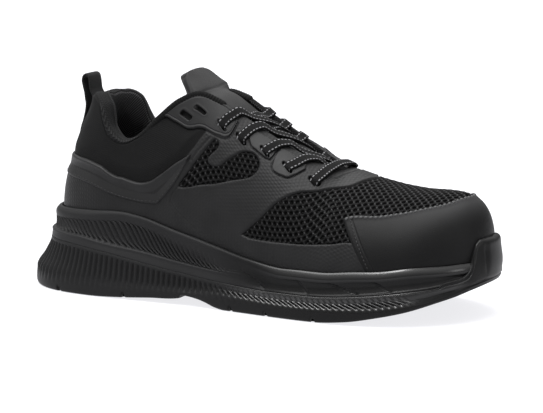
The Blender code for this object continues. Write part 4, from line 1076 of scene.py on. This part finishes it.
def makeTongue():
    # padded body: at each row a superellipse whose upper half is the face and whose lower half lies behind it,
    # thinning on a quarter circle towards the top
    s = tongueShape
    face = tongueFace(170, 61)
    out = unit(np.cross(np.gradient(face, axis=1), np.gradient(face, axis=0)))
    out = out * np.sign(out[..., 2:].mean())
    fromTop = runLengths(face[::-1, 30:31], 0)[::-1]
    settled = np.argmin(np.abs(fromTop[:, 0] - 22))
    keep = ease(15, 22, fromTop)[..., None]
    out = unit(out[settled] * (1 - keep) + out * keep)  # above the throat every row faces as the last one in it
    turn = np.arange(112) / 112 * 2 * pi
    spread = (np.cos(turn) + 1) / 2 * 60
    lower = np.floor(spread).astype(int).clip(0, 59)
    part = (spread - lower)[None, :, None]
    middle = face[:, lower] * (1 - part) + face[:, lower + 1] * part
    normal = unit(out[:, lower] * (1 - part) + out[:, lower + 1] * part)
    half = s["thick"] / 2 * quarterRound(fromTop, 3.2)
    swell = signedPower(np.sin(turn), 0.5)
    points = middle - normal * half[..., None] + normal * (half * swell)[..., None]
    acrossPart = np.broadcast_to(np.cos(turn), points.shape[:2])
    panel = (s["panel"] - acrossPart) * 17 + 30 * (acrossPart < 0) + 0 * fromTop
    seam = bell(panel, 0.4, 0.7) + bell(fromTop - 17, 5 * acrossPart ** 2, 0.6) * (panel > 0)
    points = points - normal * (0.45 * seam * (np.sin(turn) > 0))[..., None]
    flat = np.stack([acrossPart * 20, np.broadcast_to(fromTop, points.shape[:2])], -1)
    piece = gridPiece("tonguePad", points, finishes["tongue"], around=True, flip=True, flat=flat,
                      attributes={"panelInside": panel}, standsFor=("tongue",), slot="tongue_textile")


# Lace

laceShape = {"width": 6.2, "thick": 1.5, "steps": 110, "setBack": (0.0, 0.2, 0.55, 0.5),
             "farLift": (1.4, 1.2, 1.0, -0.6)}


def tonguePoint(section, share, lift):  # above the tongue's face, share across it from lateral to medial
    row = tongueRow(section)
    point = np.array([np.interp(share, np.linspace(0, 1, 61), row[:, k]) for k in range(3)])
    return point + np.array([0.42, 0, 0.9]) * lift, unit(np.array([0.45, (share - 0.5) * 0.9, 0.9]))


def wallSpot(section, share, lift):  # a point off the wall, with the direction the lace faces there
    return wallOffset(section, share, lift), wallOutward(section, min(share, 0.985))


def nearRoute(s, v):  # up and forward from its eyelet, over the edge, and on a long slant under the far edge
    far = wholeRound - s
    return [wallSpot(s - 0.03, v - 0.030, -2.0), wallSpot(s + 0.02, v, 0.9), wallSpot(s + 0.24, v + 0.065, 1.8),
            wallSpot(s + 0.50, 0.915, 2.0), wallSpot(s + 0.72, 0.985, 2.0), tonguePoint(s + 1.15, 0.33, 1.9),
            tonguePoint(s + 1.62, 0.52, 1.5), tonguePoint(s + 1.92, 0.72, 0.7), wallSpot(far - 2.10, 0.985, -3.4),
            wallSpot(far - 2.16, 0.93, -4.6)]


def farRoute(s, v, back, lift):  # the same from the other side, set back by a little, and under the near strap
    far = wholeRound - s
    return [wallSpot(far + 0.03, v - 0.030, -2.0), wallSpot(far - 0.02, v, 0.9),
            wallSpot(far - 0.40 + back * 0.4, v + 0.070, 1.8), wallSpot(far - 0.85 + back * 0.8, 0.92, lift),
            wallSpot(far - 1.10 + back, 0.985, lift), tonguePoint(s + 1.14 - back, 0.74, 0.7),
            tonguePoint(s + 1.10 - back, 0.52, 0.2), tonguePoint(s + 1.04 - back, 0.30, -0.2),
            wallSpot(s + 1.00 - back, 0.96, -3.8), wallSpot(s + 0.98 - back, 0.90, -4.6)]


def barRoute(s, v):  # straight across: up from one eyelet, over both edges and down to the other
    near = ((s - 0.03, v - 0.030, -2.0), (s + 0.02, v, 0.9), (s + 0.16, v + 0.07, 1.8), (s + 0.34, 0.89, 2.6),
            (s + 0.54, 0.985, 3.8))
    far = ((s + 0.66, 0.97, 3.8), (s + 0.54, 0.89, 2.6), (s + 0.22, v + 0.07, 1.8), (s + 0.02, v, 0.9),
           (s - 0.03, v - 0.03, -2.0))
    return [wallSpot(*stop) for stop in near] + [wallSpot(wholeRound - a, b, lift) for a, b, lift in far]


def makeLaces():  # a band along each route, near and far straps crossing row by row, and a bar at the foot
    s = laceShape
    routes = []
    for i, slot in enumerate(lacingSlots[:-1]):
        routes.append((f"laceNear{i + 1}", nearRoute(*slot), (f"lace_crossing_{i + 1}",)))
        routes.append((f"laceFar{i + 1}", farRoute(*slot, s["setBack"][i], s["farLift"][i]), ()))
    routes.append(("laceBar", barRoute(*lacingSlots[-1]), ("lace_bar",)))
    for name, stops, stands in routes:
        both = softLine(np.array([np.concatenate(stop) for stop in stops]), s["steps"])
        bandPiece(name, both[:, :3], unit(both[:, 3:]), s["width"], s["thick"], finishes["lace"],
                  standsFor=stands, slot="lace")


# Pull loop

loopShape = {"path": ((36.4, 112.6), (35.9, 116.0), (35.4, 119.8), (34.5, 123.5), (33.8, 127.0), (34.6, 129.9),
                      (36.2, 130.8), (37.8, 129.9), (38.7, 126.6), (39.2, 122.0)),
             "foot": (0.62, 0.69, 0.76), "footLift": (0.4, 1.5, 1.9), "seat": ((41.5, 117.0), (43.0, 112.5)),
             "width": 14.6, "thick": 1.6}


def makePullLoop():  # a band sewn flat to the heel's back, doubled over at the top and let into the collar
    s = loopShape
    foot = skinPoint(np.zeros(3), np.array(s["foot"]), np.array(s["footLift"]))
    path = softLine(np.vstack([foot, [(x, 0.0, z) for x, z in s["path"] + s["seat"]]]), 120)
    outward = np.cross(unit(np.gradient(path, axis=0)), np.array([0.0, -1.0, 0.0]))
    bandPiece("pullLoop", path, outward, s["width"], s["thick"], finishes["webbing"], 24,
              standsFor=("pull_loop",), slot="webbing")


# Sole

soleShape = {
    "ledge": ((10, 35.5), (48, 35), (66, 32.6), (97, 28.8), (119, 25.4), (150, 22.4), (175, 21.2), (217, 20.6),
              (250, 23.5), (280, 27.6), (305, 31.5)),
    "band": ((5, 31), (40, 30), (66, 27.5), (97, 22.5), (120, 19.3), (150, 16.4), (185, 14.7), (210, 14.8),
             (242, 17.3), (260, 19.6), (274, 21.8), (285, 24.4), (294, 27), (307, 30)),
    "ribFoot": ((0, 10), (35, 10), (100, 9.2), (135, 9.6), (200, 8.0), (240, 9.8), (270, 14.8), (297, 25),
                (306, 26.6)),
    "ground": ((-2, 5.6), (4, 1.3), (10, 0.1), (15, 0), (60, 0), (80, 0.8), (100, 2.3), (119.8, 3.9), (121.4, 6.0),
               (124, 5.9), (129, 5.3), (134, 4.4), (139, 3.0), (145, 1.0), (152, 0), (212, 0), (231, 1.6), (248, 4.8),
               (264, 8.6), (280, 14.2), (288, 17.2), (293, 19.6), (297, 21.4), (303, 24.0), (308, 26)),
    # how far the lines stand out from the outline: x, rim, ledge, band, flare
    "stands": np.array([(15, 4.5, 7.0, 7.0, 18.4), (40, 5.0, 7.4, 7.8, 15.0), (65, 5.0, 6.9, 7.6, 12.0),
                        (100, 4.5, 5.6, 6.6, 9.5), (140, 4.2, 4.8, 5.6, 7.5), (200, 4.4, 4.3, 5.3, 7.0),
                        (250, 4.4, 4.3, 5.5, 7.5), (285, 4.2, 4.2, 5.2, 6.8), (302, 4.0, 4.0, 5.2, 4.6)]),
    # pressed steps across the forefoot's side: x at their top and foot
    "facets": ((166, 182), (203, 209), (222, 240), (248, 257)),
    "heelRib": 3.9, "sideRib": 3.6, "heelRibDepth": 1.7, "sideRibDepth": 1.9,
    "notches": (34.9, 82.0, 156.1, 180.5, 212.0),
    "lip": ((18.0, 0.0), (18.75, 24.8), (19.45, 27.9), (19.74, 31.0), (19.89, 36.0), (19.99, 42.0), (20.10, 46.0),
            (20.30, 48.2), (20.65, 48.6), (21.0, 48.2)),
}


def stand(section, which, more=0.0):
    # outline point plus its outward direction times the distance tabled for this line
    plan = footPoint(section)
    table = soleShape["stands"]
    distance = steady(table[:, 0], table[:, 1 + ("rim", "ledge", "band", "flare").index(which)], plan[..., 0]) + more
    return plan + footOutward(section)[..., :2] * np.asarray(distance)[..., None]


def ring(plan, height):  # plan points raised to a height
    return np.concatenate([plan, np.broadcast_to(height, plan.shape[:-1])[..., None]], -1)


def leaned(sections, amount):  # moved towards the toe on both sides by an amount that fades at heel and toe
    folded, side = foldSection(sections)
    return sections - side * amount * np.clip(np.minimum(folded, lastSection - folded) / 2, 0, 1)


def ribColumns(pitch, many, few, ribbed):  # columns in step with the ribs: many on a rib where ribbed, else few
    dense = np.linspace(0, wholeRound, 6001)
    run = runLengths(stand(dense, "band"), 0)
    count = int(round(run[-1] / pitch))
    beat = run / run[-1] * count
    middles = footPoint(np.interp(np.arange(count) + 0.5, beat, dense))[:, 0]
    counts = [many if ribbed(x) else few for x in middles]
    steps = np.concatenate([i + np.arange(columns) / columns for i, columns in enumerate(counts)])
    groove = (0.5 + 0.5 * np.cos(2 * pi * steps)) ** 1.4
    return np.interp(steps, beat, dense), groove


def cupFloor(x, plan):  # the lower of band and footbed less its room, but never below the ground line
    floor = np.minimum(along(soleShape["band"], x), along(pattern["footbed"], x) - 6.0)
    return np.maximum(floor, along(soleShape["ground"], plan[:, 0]) + 1.2)


def makeMidsole():
    # cup skinned through rings from inside the rim, over it, down the ribs to the ledge and under the band
    s = soleShape
    u, groove = ribColumns(s["heelRib"], 9, 6, lambda x: x < 160)
    x = footPoint(u)[:, 0]
    ripple = 0.22 * ease(170, 215, x) * (np.sin(x / 5.1) + np.sin(x / 8.7 + 1.0))
    rim, ledge = along(pattern["rim"], x) + ripple, along(s["ledge"], x)
    share = shareAtHeight(u, rim)
    out = footOutward(u)
    innerTop, innerLow = wallPoint(u, share) + out * 0.25, wallPoint(u, share * 0.8) + out * 0.25
    lean = np.clip((rim - ledge - 6.0) * 0.9 / 14, 0.05, 1.0)
    low, half, third = leaned(u, lean), leaned(u, lean / 2), leaned(u, lean * 0.2)
    lowX = footPoint(low)[:, 0]
    lowLedge, lowBand = along(s["ledge"], lowX), along(s["band"], lowX)
    ribs = out[:, :2] * (groove * ease(0, 1, (154 - x) / 28) * s["heelRibDepth"])[:, None]
    under = out[:, :2] * (0.9 * ease(0, 1, (165 - x) / 45))[:, None]
    deep = np.clip(rim - ledge - 7.0, 0.6, None)
    toLedge = np.clip(deep * 0.10, 0.3, 1.0)
    top = rim - 5.4 - 4.6 * ease(75, 130, x)
    sloped, bead = 1 - ease(40, 95, x), ease(150, 200, x)
    midX = leaned(u, lean * 0.7)
    rings = [
        innerLow,  # inside the wall
        np.concatenate([innerTop[:, :2], (rim - 0.2 + 0.9 * sloped)[:, None]], -1),
        ring((innerTop[:, :2] + stand(u, "rim", -0.6)) / 2, rim + 0.65 + 0.2 * sloped),
        ring(stand(u, "rim", -0.6 - 1.1 * bead), rim + 0.1 + 0.3 * bead - 1.1 * sloped),
        ring(stand(u, "rim", -0.7 * bead), rim - 1.5 + 0.3 * bead - 1.1 * sloped),
        ring(stand(u, "rim", 0.0), rim - 3.6 - 0.4 * sloped),  # rim's outer face
        ring(stand(u, "rim", -0.1), rim - 4.6),
        ring(stand(third, "rim", -0.1) - ribs * 0.8, top - 0.6),
        ring(stand(half, "rim", -0.1) - ribs, (top + lowLedge + toLedge) / 2),
        ring(stand(midX, "rim", 0.1) - ribs, top * 0.22 + (lowLedge + toLedge) * 0.78),
        ring(stand(low, "rim", 0.4) - ribs * 0.8, lowLedge + toLedge + 0.2),
        ring(stand(low, "ledge") - under - ribs * 0.1, lowLedge + toLedge * 0.5),
        ring(stand(low, "ledge", 0.0), lowLedge - 0.2),  # ledge
        ring(stand(low, "ledge", -0.1), lowLedge - 1.2),
        ring(stand(low, "ledge") * 0.5 + stand(low, "band", -0.2) * 0.5, lowLedge * 0.5 + lowBand * 0.5),
        ring(stand(low, "band", 0.0), lowBand + 0.55),  # foot of the side band
        ring(stand(low, "band", -0.6), np.minimum(lowBand, cupFloor(lowX, stand(low, "band", -0.6))) + 0.05),
        ring(stand(low, "band", -7.0), cupFloor(lowX, stand(low, "band", -7.0)) + 0.3),
    ]
    fore = ease(140, 178, x)[:, None]
    for i in range(7, 15):  # in front there is no ledge: one hollow side with a few pressed steps
        t = (i - 6) / 9
        at = leaned(u, lean * t)
        ahead = [lowX - a - (b - a) * t for a, b in s["facets"]]
        steps = [ease(-0.5, 0.5, -d) * np.exp(-np.clip(-d, 0, None) / 14) + 0.9 * bell(d, 0, 0.7) for d in ahead]
        pressed = out[:, :2] * (0.9 * sin(pi * t) + 0.6 * sum(steps))[:, None]
        plan = stand(at, "rim", -0.1) * (1 - t) + stand(at, "band", -0.2) * t - pressed
        rings[i] = rings[i] * (1 - fore) + ring(plan, (rim - 4.6) * (1 - t) + (lowBand + 0.9) * t) * fore
    points = skinRings(rings, [2, 2, 3, 3, 2, 2, 3, 4, 4, 3, 3, 2, 2, 3, 4, 3, 2])
    rows = np.arange(len(points))[:, None]
    gloss = ease(160, 205, x) * (0.12 + 0.88 * bell(rows, 9.0, 3.6))  # brightest along the rim
    plain = 0.25 * (1 - bell(rows, 39.0, 5.0))  # painted highlight: palest along the ledge
    # fore carries painted shade: darker in front and away from the ledge
    gridPiece("midsoleCup", points, finishes["midsole"], around=True, flip=True, standsFor=("midsole",),
              slot="sole_foam", attributes={"gloss": gloss, "fore": np.clip(plain + ease(120, 200, x), 0, 1)})


def makeOutsole():
    # unit skinned through rings from under the cup, out to the band, down the ribs to the flare and the tread's edge;
    # in front the upper rings rise to hug the toe as a bumper
    s = soleShape
    u, groove = ribColumns(s["sideRib"], 8, 6, lambda x: x < 284)
    x = footPoint(u)[:, 0]
    folded, _ = foldSection(u)
    band = along(s["band"], x)
    out = footOutward(u)[:, :2]
    lip = np.maximum(along(s["lip"], folded), band + 0.1)
    proud = ease(17.2, 19.2, folded)
    rim = along(pattern["rim"], x)
    tall = ease(0.0, 12.0, lip - band)
    rises = tall[:, None]
    flatPart = 1 - rises
    hug = wallPoint(u, shareAtHeight(u, lip - 0.4))[:, :2]
    tip = ease(20.1, 20.6, folded)
    seat, face = stand(u, "band") + out * (proud * 1.1)[:, None], hug + out * (2.4 + 1.6 * tip)[:, None]
    rimOut = stand(u, "rim") + out * (1.1 + 1.7 * tip)[:, None]
    mark = out * (0.8 * bell(folded, 20.40, 0.05))[:, None]  # pressed line across the bumper
    lean = 0.02 + 0.42 * ease(120, 175, x)
    low, half, most = leaned(u, lean), leaned(u, lean / 2), leaned(u, lean * 0.85)
    lowFoot = along(s["ribFoot"], footPoint(low)[:, 0])
    ribs = out * (groove * ease(0, 1, (266 - x) / 16) * (s["sideRibDepth"] - 0.5 * ease(120, 170, x)))[:, None]
    edge, flare = stand(low, "flare", -4.0), stand(low, "flare")
    # the notch mask both sinks the edge and, on the lower rows, paints it near black as shade
    notchAndShade = np.max([1 - ease(0.9, 1.5, np.abs(flare[:, 0] - at)) for at in s["notches"]], axis=0)
    notch = 2.2 * notchAndShade
    ground, outerGround = along(s["ground"], edge[:, 0]) + notch, along(s["ground"], flare[:, 0]) + notch
    front, tuck = ease(140, 190, x), ease(19.6, 20.3, folded)
    drop = 1 - 0.5 * front
    inner, outer = stand(u, "band", -6.0), stand(u, "band", -0.9)
    rings = [
        ring(inner, cupFloor(x, inner)) * flatPart + ring(hug - out * 0.8, lip - 3.0) * rises,
        ring(outer, np.minimum(band - 0.2, cupFloor(x, outer))) * flatPart + ring(hug, lip - 1.5) * rises,
        ring(stand(u, "band", -0.6) * flatPart + (hug + out * 0.2) * rises, lip - 0.25 - 0.3 * tall),
        ring((seat - out * 0.15) * flatPart + (hug + out * 1.3) * rises, lip + 0.05),  # bumper's top
        ring((seat + out * 0.1) * flatPart + face * rises, lip - 0.25 - 0.9 * tall),
        ring((seat + out * 0.2) * flatPart + (face * 0.5 + rimOut * 0.5 - mark) * rises,
             (band - 0.5) * (1 - tall) + (lip + rim) / 2 * tall),
        ring((seat + out * 0.3) * flatPart + (rimOut - mark) * rises, (band - 0.7) * (1 - tall) + rim * tall),
        ring(seat + out * (0.4 - 0.5 * tuck)[:, None], band - 1.3 * drop + 0.4 * tuck),
        ring(stand(u, "band", 0.6) + out * (proud - 1.2 * tuck)[:, None] - ribs * (0.55 - 0.45 * front)[:, None],
             band - 2.4 * drop - 0.8 * front),
        ring((stand(half, "band", 0.6) + stand(half, "flare", -0.4)) / 2 - ribs, (band - 2.4 + lowFoot) / 2),
        ring(stand(most, "flare", -0.6) - ribs * 0.85, band * 0.12 + lowFoot * 0.88),
        ring(stand(low, "flare", -0.3) - ribs * (0.35 - 0.3 * front)[:, None],
             lowFoot - 0.6 * ease(0.5, 3, lowFoot - outerGround)),
        ring(flare, lowFoot * 0.5 + outerGround * 0.5),  # widest line
        ring(stand(low, "flare", -0.35), lowFoot * 0.12 + outerGround * 0.88),
        ring(stand(low, "flare", -1.4), lowFoot * 0.015 + ground * 0.985),
        ring(edge, ground),  # tread's edge
    ]
    points = skinRings(rings, [2, 2, 3, 3, 4, 4, 4, 3, 5, 5, 4, 3, 3, 3, 2])
    rows = np.arange(len(points))[:, None]
    shiny = 1 - 0.85 * ease(255, 280, x) * (1 - bell(rows, 22, 4) * (1 - ease(284, 292, x)))
    gloss = ease(140, 185, x) * shiny * (1 - 0.92 * ease(36, 41, rows))
    # fore is painted shade, darker towards the front
    marks = {"gloss": gloss, "fore": ease(120, 200, x), "notchAndShade": notchAndShade * ease(43, 45, rows)}
    gridPiece("outsoleUnit", points, finishes["outsole"], around=True, flip=True, attributes=marks,
              standsFor=("outsole",), slot="sole_rubber")


def between(near, far, count):  # straight rows from one edge to the other, and the share gone across
    t = np.linspace(0, 1, count)[None, :, None]
    return near[:, None] * (1 - t) + far[:, None] * t, t[..., 0]


treadShape = {"rows": 420, "across": 120, "depth": 3.0, "pitch": 19.0, "groove": 4.6}


def makeTread():  # bottom between the two edges: straight rungs, with bent cross grooves and a spine pressed into it
    s = treadShape
    steps = np.linspace(0.04, lastSection - 0.04, s["rows"])
    lean = 0.02 + 0.42 * ease(120, 175, footPoint(steps)[:, 0])
    near, far = stand(leaned(steps, lean), "flare", -4.0), stand(leaned(wholeRound - steps, lean), "flare", -4.0)
    plan, t = between(near, far, s["across"])
    side = np.abs(t * 2 - 1)
    bent = plan[..., 0] + 9.0 * side
    wave = np.abs((bent / s["pitch"]) % 1.0 - 0.5) * s["pitch"]
    width = np.linalg.norm(far - near, axis=1)[:, None]
    inset = (1 - side) * width / 2
    groove = (1 - ease(s["groove"] / 2 - 0.5, s["groove"] / 2 + 0.5, wave)) * ease(5.0, 6.0, inset)
    spine = (1 - ease(1.6, 2.4, np.abs((t - 0.5) * width))) * ease(20, 24, width)
    waist = ease(90, 96, plan[..., 0]) * (1 - ease(140, 148, plan[..., 0]))
    depth = s["depth"] * np.maximum(groove, spine) * (1 - waist)
    points = ring(plan, along(soleShape["ground"], plan[..., 0]) + depth)
    # fore of 1: the whole tread gets the darkest painted shade
    gridPiece("tread", points, finishes["outsole"], flip=True, slot="sole_rubber",
              attributes={"gloss": np.zeros((1, 1)), "fore": np.ones((1, 1))})


insoleShape = {"rows": 220, "across": 70, "gap": 0.7, "lift": 2.6, "cup": 2.2, "thick": 2.2}


def makeInsole():  # dished sheet between the two sides of the footbed, raised towards its edges
    s = insoleShape
    steps = np.linspace(0.03, lastSection - 0.03, s["rows"])
    near, far = (footPoint(at) + footOutward(at)[:, :2] * -(pattern["wall"] + s["gap"])
                 for at in (steps, wholeRound - steps))
    plan, t = between(near, far, s["across"])
    cup = s["cup"] * ease(0.75, 1.0, np.abs(t * 2 - 1))
    top = ring(plan, along(pattern["footbed"], plan[..., 0]) + s["lift"] + cup)
    piece = gridPiece("footbedLiner", top, finishes["footbed"], standsFor=("insole",), slot="footbed")
    solid = piece.modifiers.new("thickness", "SOLIDIFY")
    solid.thickness = s["thick"] * 0.001
    solid.offset = -1


for make in (makeUpper, makeMesh, makeLining, makeCollarTrim, makeToeCap, makeCounter, makeEyestays, makeTabs,
             makeThroatStitch, makeTongue, makeLaces, makePullLoop, makeMidsole, makeOutsole, makeTread, makeInsole):
    make()


# Stage, light and camera

stageShape = {
    "azimuth": 26.0, "elevation": 10.0, "distance": 1.5, "focus": (150.0, 0.0, 50.0), "pan": (0.00870, 0.00508),
    "pixels": 2464.5, "frameWidth": 543, "sensor": 36.0,  # focal length and frame in pixels, sensor in millimetres
    "floorSize": 40.0, "floor": 0.20, "floorGlow": 0.80, "horizon": 0.06, "zenith": 1.6,
    "sun": 4.3, "sunFrom": (-0.15, -0.12, 1.0), "sunSpread": 60.0,
    # name, place, power and width
    "lamps": (("rear", (-0.5, 0.9, 1.5), 9.0, 1.0), ("streak", (0.1, -0.8, 1.5), 8.0, 0.35),
              ("side", (1.7, -0.4, 0.55), 2.6, 0.5), ("heel", (-1.6, -0.5, 0.6), 1.5, 0.5)),
}


def aimed(name, lamp, spot):  # lamp at a spot, its axis turned to the shoe
    holder = bpy.data.objects.new(name, lamp)
    holder.location = spot
    holder.rotation_euler = (Vector((0, 0, 0.05)) - Vector(spot)).to_track_quat("-Z", "Y").to_euler()
    bpy.context.scene.collection.objects.link(holder)


def makeStage():  # pale floor, sky whose strength rises with the height looked at, a wide sun and four lamps
    s = stageShape
    mesh = bpy.data.meshes.new("floor")
    corners = [(x * s["floorSize"], y * s["floorSize"], -0.0002) for x, y in ((-1, -1), (1, -1), (1, 1), (-1, 1))]
    mesh.from_pydata(corners, [], [(0, 1, 2, 3)])
    floor = bpy.data.objects.new("floor", mesh)
    bpy.context.scene.collection.objects.link(floor)
    paint = Finish("floor_paint", Roughness=0.9, Specular_IOR_Level=0.1, Base_Color=grey(s["floor"]),
                   Emission_Color=grey(1.0), Emission_Strength=s["floorGlow"])
    mesh.materials.append(paint.material)
    world = bpy.context.scene.world or bpy.data.worlds.new("studio")
    bpy.context.scene.world = world
    world.use_nodes = True
    sky = Sheet(world.node_tree)
    sky.tree.nodes["Background"].inputs["Color"].default_value = (1.0, 1.0, 1.0, 1.0)
    heading = sky.node("ShaderNodeTexCoord", {}, {}, "Generated")
    height = sky.node("ShaderNodeSeparateXYZ", {}, {0: heading}, 2)
    sky.link("Background", Strength=sky.node("ShaderNodeMapRange", {}, {"Value": height, "To Min": s["horizon"],
                                                                        "To Max": s["zenith"]}))
    sun = bpy.data.lights.new("sky", "SUN")
    sun.energy, sun.angle = s["sun"], radians(s["sunSpread"])
    aimed("sky", sun, s["sunFrom"])
    for name, spot, power, wide in s["lamps"]:
        lamp = bpy.data.lights.new(name, "AREA")
        lamp.energy, lamp.size = power, wide
        aimed(name, lamp, spot)


def makeCamera():  # eye at a distance from the focus along azimuth and elevation, aimed past it by the pan
    s = stageShape
    a, e = radians(s["azimuth"]), radians(s["elevation"])
    back = Vector((sin(a) * cos(e), -cos(a) * cos(e), sin(e)))
    right = Vector((cos(a), sin(a), 0.0))
    up = back.cross(right)
    focus = Vector(place(np.array(s["focus"])))
    eye = focus + back * s["distance"]
    aim = focus + right * s["pan"][0] + up * s["pan"][1]
    lens = bpy.data.cameras.new("camera")
    lens.sensor_fit = "HORIZONTAL"
    lens.sensor_width = s["sensor"]
    lens.lens = s["pixels"] / s["frameWidth"] * s["sensor"]
    lens.clip_start = 0.01
    camera = bpy.data.objects.new("camera", lens)
    z = (eye - aim).normalized()
    level = Vector((0, 0, 1)).cross(z).normalized()
    camera.matrix_world = Matrix.Translation(eye) @ Matrix((level, z.cross(level), z)).transposed().to_4x4()
    bpy.context.scene.collection.objects.link(camera)
    bpy.context.scene.camera = camera


makeStage()
makeCamera()
bpy.context.scene.view_settings.view_transform = "Standard"
print("stage ready")
